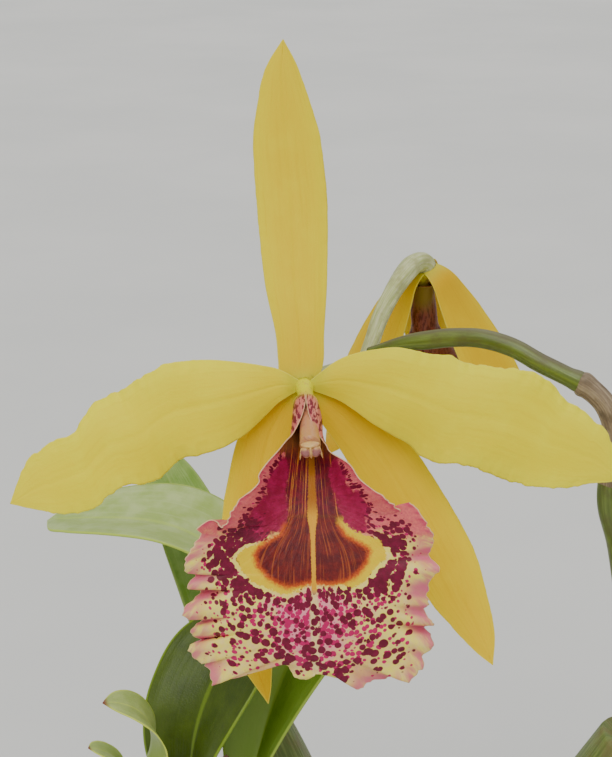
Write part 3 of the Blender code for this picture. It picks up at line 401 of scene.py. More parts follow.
class Look:
    """One procedural material in the making."""

    def __init__(self, name):
        self.material = bpy.data.materials.new(name)
        self.material.use_nodes = True
        self.tree = self.material.node_tree
        self.shader = self.tree.nodes["Principled BSDF"]

    def put(self, node, key, value):
        """Links a socket or sets its value. Colours are given as 0 to 255 on screen."""
        socket = node.inputs[key]
        if isinstance(value, bpy.types.NodeSocket):
            self.tree.links.new(value, socket)
        else:
            socket.default_value = (*srgb(value), 1.0) if socket.type == "RGBA" else value

    def node(self, kind, inputs, output=0, **settings):
        made = self.tree.nodes.new("ShaderNode" + kind)
        for key, value in settings.items():
            setattr(made, key, value)
        for key, value in inputs.items():
            self.put(made, key, value)
        return made.outputs[output]

    def field(self, name, output="Fac"):
        return self.node("Attribute", {}, output, attribute_name=name)

    def place(self, name):
        return self.field(name, "Vector")

    def surface(self):
        return self.node("TexCoord", {}, "Object")

    def texture(self, kind, place, scale, output, inputs):
        """A texture's output. A scale of three numbers stretches it."""
        if isinstance(scale, tuple):
            place = self.node("Mapping", {"Vector": place, "Scale": scale})
            scale = 1.0
        return self.node("Tex" + kind, {"Vector": place, "Scale": scale, **inputs}, output)

    def noise(self, place, scale, detail=3.0, rough=0.6, distort=0.0, output=0):
        inputs = {"Detail": detail, "Roughness": rough, "Distortion": distort}
        return self.texture("Noise", place, scale, output, inputs)

    def cells(self, place, scale, randomness=1.0):
        return self.texture("Voronoi", place, scale, "Distance", {"Randomness": randomness})

    def math(self, operation, a, b=0.0, c=0.0):
        return self.node("Math", {0: a, 1: b, 2: c}, operation=operation)

    def plus(self, first, *others):
        for other in others:
            first = self.math("ADD", first, other)
        return first

    def times(self, first, *others):
        for other in others:
            first = self.math("MULTIPLY", first, other)
        return first

    def scaled(self, value, factor, offset):
        return self.math("MULTIPLY_ADD", value, factor, offset)

    def frayed(self, name, wander, reach, offset):
        """A field whose border wanders with a noise."""
        return self.plus(self.field(name), self.scaled(wander, reach, offset))

    def spread(self, value, low, high):
        """0 at low and 1 at high, also where low is the greater."""
        inputs = {"Value": value, "From Min": low, "From Max": high}
        return self.node("MapRange", inputs, interpolation_type="SMOOTHSTEP")

    def mix(self, mask, a, b):
        return self.node("Mix", {0: mask, 6: a, 7: b}, 2, data_type="RGBA")

    def coats(self, colour, *layers):
        """The colour under layers of paint, value, where in it the paint begins and where it is
        full, and the amounts or masks that hold it back."""
        for paint, value, low, high, *amounts in layers:
            colour = self.mix(self.times(self.spread(value, low, high), *amounts), colour, paint)
        return colour

    def bump(self, strength, distance, *heights):
        """Relief from pairs of a height and its weight."""
        height = self.plus(*(self.times(*pair) for pair in heights))
        inputs = {"Height": height, "Strength": strength, "Distance": distance}
        self.put(self.shader, "Normal", self.node("Bump", inputs))

    def finish(self, colour, roughness, translucent=0.0, glow=(1.0, 0.6, 0.2), specular=0.5):
        """The material. glow is how far red, green and blue light spreads inside the tissue."""
        self.put(self.shader, "Base Color", colour)
        self.put(self.shader, "Roughness", roughness)
        self.put(self.shader, "Specular IOR Level", specular)
        if translucent:
            self.put(self.shader, "Subsurface Weight", translucent)
            self.put(self.shader, "Subsurface Radius", glow)
            self.put(self.shader, "Subsurface Scale", GLOW_DEPTH)
        return self.material


def petal_look(name, pale, rich, deep, tip):
    """Yellow tepal: fine veins from the base, a richer middle, a paler margin and a cell sparkle."""
    look = Look(name)
    blade = look.place("blade")
    share = look.field("share")
    edge = look.field("edge")
    cloud = look.noise(blade, 0.09, 4.0)
    streaks = look.noise(look.place("vein"), (9.0, 0.035, 1.0))
    fine = look.noise(blade, 3.2, rough=0.7)
    colour = look.coats(
        pale,
        (rich, edge, 0.0, 5.5),
        (pale, cloud, 0.42, 0.68, 0.6),
        (deep, share, 0.34, 0.02, 0.8),
        (tip, share, 0.72, 1.0, 0.75),
        ((196, 198, 60), share, 0.09, 0.0, 0.7),
        (deep, streaks, 0.5, 0.72, 0.3),
        (pale, streaks, 0.46, 0.3, 0.2),
        (pale, fine, 0.54, 0.7, 0.16),
        ((248, 236, 96), edge, 0.3, 0.05, 0.5),
    )
    look.bump(0.28, 0.0004, (streaks, 0.9), (look.cells(blade, 3.6), 0.12), (cloud, 0.6))
    return look.finish(colour, look.scaled(fine, 0.16, 0.44), 0.14, (1.0, 0.7, 0.05), 0.14)


def spots_in(look, place, scale, size, luck):
    """Round spots in cells of the given stretch: the size is the spots' reach in a cell, and each
    cell's luck adds to it or takes from it."""
    distance = look.cells(place, scale, 0.9)
    reach = look.plus(size, look.scaled(distance.node.outputs["Color"], 2 * luck, -luck))
    return look.spread(look.math("SUBTRACT", reach, distance), 0.0, 0.05)


def lip_look(name, painted_shade):
    """The lip's colours, each in its field: throat stripes, crimson sides, eyes, halo and spots, with a
    brown painted shade over all of them by the amount given.
    """
    look = Look(name)
    seen, ray, fan = (look.place(key) for key in ("seen", "ray", "fan"))
    edge, under, low = (look.field(key) for key in ("edge", "under", "low"))
    weight, blotch = (look.field(key) for key in ("spots", "blotch"))
    ragged = look.noise(seen, 0.62)
    fine = look.noise(seen, 2.2, 2.0)
    rays = look.noise(ray, (0.75, 0.10, 1.0))
    lines = look.noise(fan, (8.5, 0.05, 1.0), 2.0, 0.5)
    thin = look.noise(fan, (19.0, 0.07, 1.0), 2.0, 0.5)

    # Ground: cream outside, rose in the middle, darker rose in the furrows, partly the lip's own rose and
    # partly painted shade, salmon on the upper margins and crimson at both sides of the throat
    sides = look.math("SUBTRACT", 1.0, look.field("central"))
    furrow_shade = look.frayed("pleat", rays, 1.0, -0.5)
    salmon = look.coats(
        (238, 122, 112),
        ((218, 92, 106), fine, 0.2, 0.8),
        ((204, 66, 98), edge, 2.0, 0.3, look.spread(rays, 0.35, 0.6)),
    )
    crimson = look.coats(
        (144, 6, 54),
        ((168, 18, 76), ragged, 0.35, 0.7),
        ((116, 2, 40), rays, 0.5, 0.75, 0.35),
    )
    ground = look.coats(
        (252, 234, 92),
        ((250, 222, 136), ragged, 0.3, 0.7),
        ((246, 150, 164), look.frayed("rose", ragged, 0.9, -0.45), 0.2, 0.9),
        # Painted shade, partly real rose: darker rose where the pleats fold back
        ((204, 88, 122), furrow_shade, 0.25, -0.3, look.spread(edge, 7.0, 2.2), sides, 0.85),
        ((222, 104, 132), edge, 5.4, 0.6, look.spread(rays, 0.36, 0.56), sides, 0.9),
        (salmon, look.frayed("upper", ragged, 1.2, -0.6), 0.25, 0.85),
        (crimson, look.frayed("crimson", ragged, 3.6, -1.2), -0.35, 0.5),
    )

    # Spots: small magenta ones below large maroon ones, both thinning out towards the margins and
    # the large ones running together next to the halo and along the crimson sides
    warp = look.noise(seen, 0.7, 1.0, 0.5, output="Color")
    inputs = {0: warp, 1: (0.35, 0.35, 0.0), 2: ray}
    warped = look.node("VectorMath", inputs, operation="MULTIPLY_ADD")
    small = look.plus(look.times(weight, 0.4), look.scaled(look.field("rose"), 0.22, 0.02))
    crowded = look.plus(look.times(blotch, 0.34), look.times(weight, 0.49))
    large = look.plus(look.times(blotch, 0.38), look.scaled(weight, 0.24, 0.02))
    dots = spots_in(look, warped, (0.78, 0.62, 1.0), crowded, 0.16)
    blots = spots_in(look, warped, (0.5, 0.42, 1.0), large, 0.17)
    dark = look.coats((102, 0, 36), ((128, 0, 54), ragged, 0.3, 0.7))
    ground = look.mix(spots_in(look, warped, (1.15, 0.9, 1.0), small, 0.17), ground, (196, 16, 96))
    ground = look.mix(look.math("MAXIMUM", dots, blots), ground, dark)

    # Throat: dark, with gold lines that fan out, and brown under the hood, partly the lip's own colour and
    # partly painted shade of the hood
    gold = look.coats((214, 134, 40), ((182, 84, 44), ragged, 0.3, 0.7))
    faint = look.times(look.spread(thin, 0.57, 0.64), 0.75)
    stripes = look.math("MAXIMUM", look.spread(lines, 0.59, 0.64), faint)
    throat = look.mix(stripes, look.coats((92, 4, 30), ((116, 14, 34), ragged, 0.4, 0.6)), gold)
    # Brown under the hood: partly the lip's own colour, partly painted shade of the hood
    throat = look.mix(look.times(look.field("roof"), 0.85), throat, (158, 104, 52))

    # Halo and eyes, which run up into the throat without a border
    halo = look.plus(look.frayed("halo", ragged, 2.2, -1.3), look.scaled(fine, 1.3, -0.65))
    eye = look.frayed("eye", fine, 1.3, -0.15)
    faint = look.times(look.spread(lines, 0.58, 0.66), 0.6)
    veins = look.times(look.math("MAXIMUM", faint, look.spread(thin, 0.56, 0.64)), 0.42)
    brown = look.mix(veins, look.coats((90, 5, 12), ((116, 20, 14), ragged, 0.35, 0.65)), (206, 104, 30))

    # Midline stripe: gold in the throat, yellow between the eyes, cream and broken by spots below
    stripe = look.coats((178, 110, 16), ((230, 166, 20), low, 0.0, 1.0), ((250, 226, 150), low, 1.5, 2.0))
    broken = look.times(look.math("MAXIMUM", dots, 0.15), look.spread(low, 1.5, 2.0))
    kept = look.math("SUBTRACT", 1.0, broken)
    ground = look.coats(
        ground,
        (throat, look.frayed("throat", fine, 1.3, -0.65), -0.3, 0.5),
        ((236, 200, 0), halo, -0.1, 0.3, look.spread(under, 0.3, 0.9)),
        ((206, 84, 10), eye, -1.3, 0.0, look.spread(under, 0.6, 1.0)),
        (brown, eye, -0.5, 0.9, look.spread(under, 0.0, 0.6)),
        (stripe, look.frayed("midline", fine, 0.78, -0.39), 1.15, 0.75, kept),
        ((248, 214, 158), edge, 0.2, 0.04, 0.8),
    )

    # Outer face: salmon with maroon streaks near the base and a cream rim
    back = look.coats(
        (226, 142, 116),
        ((198, 88, 92), rays, 0.3, 0.7),
        ((118, 12, 38), look.noise(seen, (1.9, 0.7, 0.7)), 0.48, 0.58, look.field("base")),
        ((244, 198, 150), edge, 0.24, 0.05, 0.8),
    )
    back = look.mix(look.field("claw"), back, (214, 206, 40))
    # Brown painted shade over both faces, for the rear lip that sits in shadow between its tepals
    colour = look.mix(painted_shade, look.mix(look.field("inner"), back, ground), (92, 50, 20))
    look.bump(0.35, 0.0005, (rays, 1.4), (look.cells(seen, 4.2), 0.2))
    return look.finish(colour, look.scaled(fine, 0.2, 0.42), 0.1, (1.0, 0.3, 0.25), 0.35)


def leaf_look(name, base, pale, margin, underside, painted_light=None, tip=None):
    """Leathery leaf: lengthwise veins, cloudy green, a bright thin margin and a paler back. Its
    left half may get a lighter colour as painted light, and its tip may be brown."""
    look = Look(name)
    blade = look.place("blade")
    cloud = look.noise(blade, 0.12, 4.0)
    lines = look.noise(look.place("vein"), (13.0, 0.02, 1.0), 2.0, 0.55)
    colour = look.coats(
        base,
        (pale, cloud, 0.3, 0.72, 0.8),
        (pale, lines, 0.52, 0.7, 0.32),
        (margin, look.field("middle"), 0.07, 0.02, 0.5),
        (margin, look.noise(blade, 2.4, 2.0), 0.66, 0.74, 0.35),
    )
    colour = look.mix(look.field("inner"), look.mix(0.5, underside, colour), colour)
    # Painted light: the left half takes a lighter colour, standing in for light falling on it
    if painted_light:
        colour = look.mix(look.times(look.field("left"), 0.8), colour, painted_light)
    colour = look.coats(colour, (margin, look.field("edge"), 0.7, 0.12))
    if tip:
        colour = look.coats(colour, (tip, look.field("share"), 0.93, 0.99))
    look.bump(0.25, 0.0005, (lines, 1.0), (look.cells(blade, 2.6), 0.18), (cloud, 1.3))
    return look.finish(colour, look.scaled(cloud, 0.22, 0.28), 0.06, (0.5, 1.0, 0.2), 0.35)


def stem_look(name, base, pale, tint, scale, gloss, lines, sunned=0.0):
    """Waxy stem skin: lengthwise streaks, a tint that comes and goes, faint specks, and brown
    where it is sunned from above."""
    look = Look(name)
    skin = look.place("skin")
    streaks = look.noise(skin, (2.2 * scale, 0.10 * scale, 1.0), 4.0)
    cloud = look.noise(skin, (0.25 * scale, 0.16 * scale, 1.0), 4.0)
    specks = look.noise(skin, 2.6 * scale, 2.0)
    colour = look.coats(
        base,
        (pale, streaks, 0.35, 0.68),
        (tint, cloud, 0.45, 0.66, 0.8),
        (tint, specks, 0.62, 0.72, 0.4),
    )
    colour = look.mix(look.times(look.field("sky"), sunned), colour, (104, 88, 70))
    look.bump(0.4, 0.0006, (streaks, lines), (specks, 0.2))
    return look.finish(colour, look.scaled(cloud, 0.2, gloss - 0.1), 0.08, (0.7, 1.0, 0.3))


def paper_look(name, base, dark):
    """Dry papery sheath: long fibres and stains."""
    look = Look(name)
    skin = look.place("skin")
    fibres = look.noise(skin, (5.0, 0.16, 1.0), 4.0, 0.65)
    stains = look.noise(skin, 0.22, 5.0, 0.65)
    colour = look.coats(dark, (base, fibres, 0.35, 0.68), (dark, stains, 0.52, 0.68, 0.75))
    look.bump(0.6, 0.0006, (fibres, 1.0))
    return look.finish(colour, 0.75, 0.1, (1.0, 0.8, 0.5))


def bark_look(name):
    """Flaky bark, paler on some chips, with dark stains and a little green."""
    look = Look(name)
    spot = look.surface()
    layers = look.noise(spot, (150.0, 420.0, 700.0), 5.0, 0.65)
    cloud = look.noise(spot, 90.0, 4.0)
    colour = look.coats((58, 36, 24), ((128, 84, 54), layers, 0.36, 0.66))
    colour = look.mix(look.times(look.field("tone"), 0.6), colour, (164, 112, 72))
    colour = look.coats(
        colour,
        ((44, 32, 24), cloud, 0.55, 0.7, 0.6),
        ((96, 104, 52), layers, 0.66, 0.76, look.spread(cloud, 0.4, 0.6)),
    )
    look.bump(0.9, 0.0012, (layers, 1.0), (cloud, 0.5))
    return look.finish(colour, 0.9)


def pot_look(name):
    """Matt black moulded plastic with fine scuffs, dust and lime."""
    look = Look(name)
    spot = look.surface()
    dust = look.noise(spot, 34.0, 6.0, 0.65)
    scuffs = look.noise(spot, (900.0, 900.0, 60.0), distort=0.4)
    colour = look.coats(
        (24, 24, 26),
        ((52, 50, 48), dust, 0.42, 0.72),
        ((92, 90, 86), scuffs, 0.64, 0.72, 0.4),
        ((140, 134, 122), dust, 0.56, 0.7, look.spread(scuffs, 0.44, 0.6), 0.35),
    )
    look.bump(0.25, 0.0003, (look.noise(spot, 1900.0, 2.0, 0.5), 0.6), (scuffs, 0.3))
    return look.finish(colour, look.scaled(dust, 0.3, 0.28))


def column_look(name):
    """Fleshy column: yellow foot, salmon middle and top darkened towards brown as painted shade, crimson
    flecks.
    """
    look = Look(name)
    skin = look.place("skin")
    share = look.field("share")
    cloud = look.noise(skin, 0.8)
    # The salmon of the middle and top is partly the column's own colour and partly painted shade inside the
    # lip
    top = (204, 146, 92)
    colour = look.coats(
        (226, 222, 24),
        ((206, 136, 100), share, 0.12, 0.45),
        (top, share, 0.62, 1.0),
        (top, cloud, 0.5, 0.7, 0.5),
        ((150, 52, 70), look.noise(skin, (1.6, 0.5, 1.0), 2.0, 0.5), 0.62, 0.68, 0.5),
    )
    look.bump(0.3, 0.0004, (cloud, 1.0))
    return look.finish(colour, 0.35, 0.2, (1.0, 0.6, 0.4))


def cap_look(name):
    """Cream cap whose two lobes are mauve, both darkened towards brown as painted shade."""
    look = Look(name)
    cloud = look.noise(look.surface(), 900.0)
    # Cream and mauve darkened towards brown: painted shade on the cap inside the lip
    colour = look.coats(
        (220, 178, 104),
        ((206, 152, 98), cloud, 0.4, 0.65),
        ((164, 104, 100), look.field("lobe"), 0.3, 0.8),
    )
    look.bump(0.3, 0.0003, (cloud, 1.0))
    return look.finish(colour, 0.32, 0.15, (1.0, 0.7, 0.5))


def floor_look(name):
    look = Look(name)
    spot = look.surface()
    colour = look.coats((214, 214, 210), ((222, 221, 217), look.noise(spot, 2.2, 4.0), 0.3, 0.7))
    look.bump(0.05, 0.0004, (look.noise(spot, 260.0), 1.0))
    return look.finish(colour, 0.75)


def bloom_matrices():
    """World matrices of the two blooms, for points in millimetres."""
    lean = Matrix.Rotation(math.pi / 2 - BLOOM_LEANS_BACK, 4, "X")
    front = Matrix.Translation(BLOOM_AT) @ lean
    face = Vector(REAR_BLOOM_FACES).normalized()
    dorsal = Vector(REAR_BLOOM_DORSAL)
    dorsal = (dorsal - face * dorsal.dot(face)).normalized()
    turned = Matrix((dorsal.cross(face), dorsal, face)).transposed().to_4x4()
    rear = front @ Matrix.Translation(Vector(REAR_BLOOM_AT) * MM) @ turned
    return np.array(front), np.array(rear)


FRONT, REAR = bloom_matrices()


def to_world(points, matrix):
    return points * MM @ matrix[:3, :3].T + matrix[:3, 3]


def link(name, data):
    """A new object in the scene."""
    obj = bpy.data.objects.new(name, data)
    bpy.context.scene.collection.objects.link(obj)
    return obj


def place_piece(mesh, material, slot, *nodes):
    """Makes a finished mesh a piece on the plant, in place of the CAD nodes that are named."""
    obj = link(mesh.name, mesh)
    mesh.materials.append(material)
    mesh.shade_smooth()
    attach(obj, "root")
    if nodes:
        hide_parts(*nodes)


def add_fields(mesh, fields):
    for name, values in fields.items():
        values = values.reshape(len(mesh.vertices), -1)
        kind, key = ("FLOAT_VECTOR", "vector") if values.shape[1] == 3 else ("FLOAT", "value")
        mesh.attributes.new(name, kind, "POINT").data.foreach_set(key, values.ravel())


def new_mesh(name, points, faces, fields):
    mesh = bpy.data.meshes.new(name)
    mesh.from_pydata(points.reshape(-1, 3).tolist(), [], faces)
    add_fields(mesh, fields)
    return mesh


def sheet_mesh(name, grid, thick, fields, flip=False):
    """A thin blade round a grid of world points, with the thickness in thick at each of them."""
    order = -1 if flip else 1
    normal = order * np.cross(np.gradient(grid, axis=1), np.gradient(grid, axis=0))
    normal /= np.linalg.norm(normal, axis=2)[..., None] + 1e-15
    offset = normal * (thick / 2)[..., None]
    count = thick.size
    index = np.arange(count).reshape(thick.shape)
    quads = np.stack([index[:-1, :-1], index[:-1, 1:], index[1:, 1:], index[1:, :-1]], -1).reshape(-1, 4)
    rim = np.concatenate([index[0], index[1:, -1], index[-1, -2::-1], index[-2:0:-1, 0]])
    ahead = np.roll(rim, -1)
    side = np.stack([rim, rim + count, ahead + count, ahead], -1)
    faces = np.concatenate([quads[:, ::order], quads[:, ::-order] + count, side[:, ::order]])
    double = {key: np.stack([values, values]) for key, values in fields.items()}
    double["inner"] = np.repeat([1.0, 0.0], count)
    return new_mesh(name, np.stack([grid + offset, grid - offset]), faces.tolist(), double)


def blade_fields(grid_mm, across, shares):
    """Places on a blade for its material: across and along in millimetres, the way to the edge,
    the share of the length, the way from the middle line, and the left half."""
    run = lengths(grid_mm[:, grid_mm.shape[1] // 2])[:, None]
    reach = lengths(grid_mm, axis=1)
    width = reach[:, -1:]
    zero = np.zeros_like(reach)
    return {
        "blade": np.stack([reach - width / 2, run + zero, zero], -1),
        "vein": np.stack([across + zero, run + zero, zero], -1),
        "edge": np.minimum(np.minimum(reach, width - reach), run[-1] - run + 0.2),
        "share": shares[:, None] + zero,
        "middle": np.abs(across) + zero,
        "left": ramp(across, -0.02, 0.06) + zero,
    }


def tepal_grid(edges, depth, nicks):
    """Points between two edges from base to tip, set forward or back by depth(along, across)."""
    rows, columns = FRONT_TEPAL_MESH
    shares = np.linspace(0, 0.9985, rows + 1)
    first, second = (along(edge, shares) for edge in edges)
    outward = second - first
    outward /= np.linalg.norm(outward, axis=1)[:, None]
    nicked = nicks * ramp(shares, 0.2, 0.45) * ramp(shares, 1.0, 0.9)
    first -= outward * (nicked * ripple(shares * 30, 41, 3))[:, None]
    second += outward * (nicked * ripple(shares * 30, 42, 3))[:, None]
    across = np.linspace(0, 1, columns + 1)
    grid = np.empty((rows + 1, columns + 1, 3))
    for j, share in enumerate(across):
        grid[:, j, :2] = first + (second - first) * share
        grid[:, j, 2] = depth(shares, 2 * share - 1)
    return grid, 2 * across - 1, shares


def sepal_depth(shares, across):
    """Lateral sepals sweep back behind the petals, and their margins turn back a little."""
    return -0.8 - 5.0 * hump(0.8 * shares, 1.2) - 1.2 * across**2 * hump(shares)


def dorsal_depth(shares, across):
    """The dorsal sepal leans back, with its margins turned back and its tip coming forward."""
    return -0.8 - 3.4 * hump(shares, 1.3) - 1.0 * across**2 * hump(shares, 0.7)


def petal_depth(phase):
    """Petals arch forward, then droop, with waves that grow towards the margins."""

    def depth(shares, across):
        arch = 0.8 + 4.2 * hump(0.72 * shares) - 2.0 * shares**3 - 1.0 * ramp(shares, 0.05, 0.0)
        wave = np.sin(2 * math.pi * (3.1 * shares + phase) + 0.9 * across)
        margin = 1.1 * abs(across) ** 1.5 * wave - 1.6 * across**2
        return arch + margin * hump(np.clip(shares * 1.15, 0, 1), 0.8)

    return depth


def with_detail(depth, seed, keel, crimp):
    """The same depth with a shallow keel along the middle and fine ripples near the margins."""

    def detailed(shares, across):
        groove = -keel * bell(across, 0, 0.07) * hump(shares, 0.5)
        fine = ripple(shares * 34 + 5 * seed, seed + round(across * 2))
        return depth(shares, across) + groove + crimp * abs(across) ** 4 * fine * hump(shares)

    return detailed


def thickness(fields, at_margin):
    """Thickness of a tepal or lip in metres."""
    return (at_margin + THICKENS_BY * ramp(fields["edge"], 0.0, 2.5)) * MM


def make_tepal(name, grid, across, shares, matrix, colours):
    fields = blade_fields(grid, across, shares)
    thick = thickness(fields, TEPAL_MARGIN)
    mesh = sheet_mesh(name + "_blade", to_world(grid, matrix), thick, fields)
    place_piece(mesh, petal_look(name + "_skin", *colours), "tepal_yellow", name)


def make_front_tepals():
    yellow = ((250, 236, 30), (248, 228, 6), (238, 212, 2))
    cool = ((244, 232, 34), (240, 222, 6), (228, 204, 2))
    gold = ((244, 220, 16), (240, 208, 4), (226, 188, 2))
    deep = ((242, 210, 14), (236, 200, 4), (218, 176, 2))
    # Edges, depth, keel, crimp, nicks, colours, colour of the tip
    blades = {
        "dorsal_sepal": (DORSAL_EDGES, dorsal_depth, 0.2, 0.12, 0.08, gold, (240, 208, 24)),
        "left_petal": (LEFT_PETAL_EDGES, petal_depth(0.1), 0.14, 0.5, 0.4, yellow, (244, 222, 40)),
        "right_petal": (RIGHT_PETAL_EDGES, petal_depth(0.55), 0.14, 0.5, 0.4, cool, (238, 220, 44)),
        "left_lateral_sepal": (LEFT_LATERAL_EDGES, sepal_depth, 0.15, 0.1, 0.08, deep, (226, 176, 16)),
        "right_lateral_sepal": (RIGHT_LATERAL_EDGES, sepal_depth, 0.15, 0.1, 0.08, deep, (238, 196, 18)),
    }
    for seed, (name, (edges, depth, keel, crimp, nicks, colours, tip)) in enumerate(blades.items()):
        blade = tepal_grid(edges, with_detail(depth, seed, keel, crimp), nicks)
        make_tepal(name, *blade, FRONT, (*colours, tip))


def rear_tepal_grid(toward, forward, length, half_width, offset):
    """A plain tepal, its foot on the rim of the ovary, turned forward round that rim."""
    rows, columns = REAR_TEPAL_MESH
    shares = np.linspace(0, 1, rows + 1)
    width = half_width * profile(TEPAL_WIDTHS, np.minimum(shares, 0.9985))
    bend = np.radians(forward) * np.clip(shares * 9, 0, 1) ** 0.8 * (1 + 0.08 * shares)
    heading = np.insert(np.array([np.cos(bend[:-1]), np.sin(bend[:-1])]), 0, 0, axis=1)
    out, rise = np.cumsum(heading, axis=1) * length / rows
    out += REAR_TEPAL_RIM
    rise += offset
    angle = math.radians(toward)
    radial = np.array([math.cos(angle), math.sin(angle)])
    sideways = np.array([-radial[1], radial[0]])
    across = np.linspace(-1, 1, columns + 1)
    grid = np.empty((rows + 1, columns + 1, 3))
    for j, step in enumerate(across):
        cup = 0.12 * width * step**2
        wave = 0.5 * abs(step) ** 3 * ripple(shares * 7 + toward, 3) * hump(shares)
        grid[:, j, :2] = (out - cup * np.sin(bend))[:, None] * radial + (width * step)[:, None] * sideways
        grid[:, j, 2] = rise + cup * np.cos(bend) + wave
    return grid, across, shares


def make_rear_tepals():
    colours = ((238, 200, 14), (230, 186, 6), (212, 164, 4), (220, 168, 20))
    for name, sizes in REAR_TEPALS.items():
        make_tepal(name, *rear_tepal_grid(*sizes), REAR, colours)


def margin_points(outline, landmarks, at):
    """The toothed margin at stations from 5 to 13."""
    outline = np.array(outline)
    run = lengths(outline)
    marks = np.array(landmarks)
    stations = np.interp(run, run[marks[:, 0]], marks[:, 1])
    last = len(outline) - 1
    fine = spline(outline, np.linspace(0, last, 24 * len(outline)))
    fine_at = np.interp(np.linspace(0, last, len(fine)), np.arange(last + 1), stations)
    return np.stack([np.interp(at, fine_at, axis) for axis in fine.T], 1)


def seen_plane(points):
    """Where the camera sees points of the front bloom, in the plane of its centre."""
    nearer = VIEW_DISTANCE_MM / (VIEW_DISTANCE_MM - points[..., 2:])
    return VIEW_SHIFT_MM + (points[..., :2] - VIEW_SHIFT_MM) * nearer


def unseen(seen, depth):
    """The points at that depth that the camera sees at places in the plane of the bloom's centre."""
    farther = (VIEW_DISTANCE_MM - depth[:, None]) / VIEW_DISTANCE_MM
    return np.column_stack([VIEW_SHIFT_MM + (seen - VIEW_SHIFT_MM) * farther, depth])


def toothed(margin, middle, outline, landmarks, at):
    """A margin moved to its toothed outline, and how far its pleats go out from a smooth one."""
    out = margin - middle
    out /= np.linalg.norm(out, axis=1)[:, None] + 1e-9
    true_edge = unseen(margin_points(outline, landmarks, np.clip(at, 5, 13)), margin[:, 2])
    moved = margin + (true_edge - margin) * ramp(at, 4.7, 5.4)[:, None]
    window = np.hanning(41) / np.hanning(41).sum()
    smooth = np.stack([np.convolve(np.pad(axis, 20, "edge"), window, "valid") for axis in moved.T], 1)
    pleat = np.einsum("ij,ij->i", moved - smooth, out)
    run = lengths(moved)
    teeth = 0.75 * ripple(run / 1.4, 31) + 0.25 * ripple(run / 0.7, 32, 1)
    return moved + out * (teeth * ramp(at, 6.6, 7.6))[:, None], pleat


def lip_grid(rows, columns, widths, heights, teeth):
    """The lip from its claw to the notch. Each row runs from the left margin over the middle to
    the right margin: a closed tube round the column first, then a trough, then the open lobe."""
    at = np.linspace(0, 12.985, rows + 1)
    middle, left, right = (spline([station[k] for station in LIP_STATIONS], at) for k in range(3))
    side, back, tube, frill, width, height = (
        profile(pairs, at)
        for pairs in (LIP_SIDE_BULGE, LIP_BACK_BULGE, LIP_TUBE, LIP_FRILL, widths, heights)
    )
    pleats = [np.zeros_like(at), np.zeros_like(at)]
    if teeth:
        left, pleats[0] = toothed(left, middle, LEFT_MARGIN, LEFT_LANDMARKS, at)
        right, pleats[1] = toothed(right, middle, RIGHT_MARGIN, RIGHT_LANDMARKS, at)
    outs = np.linspace(-1, 1, columns + 1)
    grid = np.empty((rows + 1, columns + 1, 3))
    fold = np.empty((rows + 1, columns + 1))
    for j, place in enumerate(outs):
        margin, sign, pleat = (left, -1, pleats[0]) if place < 0 else (right, 1, pleats[1])
        out = abs(place)
        share = tube * (1 - math.cos(math.pi * out)) / 2 + (1 - tube) * out
        point = middle + (margin - middle) * share[:, None]
        wave = np.sin(2 * math.pi * FRILL_WAVES * at / 13 + (0.0 if sign < 0 else 1.9))
        lift = frill * (0.55 * FRILL_HEIGHT * wave + 0.9 * ripple(at * 2.6 + 11 * sign, 5 + sign))
        point[:, 0] += sign * side * hump(out)
        point[:, 2] += lift * out**3 - back * hump(out) + 1.1 * pleat * ramp(out, 0.62, 1.0)
        point[:, 2] += 0.22 * ripple(at * 5 + 3 * sign, 9 + sign) * frill * out**2
        point[:, 0] = middle[:, 0] + (point[:, 0] - middle[:, 0]) * width
        point[:, 1] *= height
        grid[:, j] = point
        # How far the pleats fold back, which the material paints darker rose, partly as painted shade
        fold[:, j] = (pleat * 0.9 + 0.35 * lift) * ramp(out, 0.55, 1.0)
    return grid, at, outs, fold


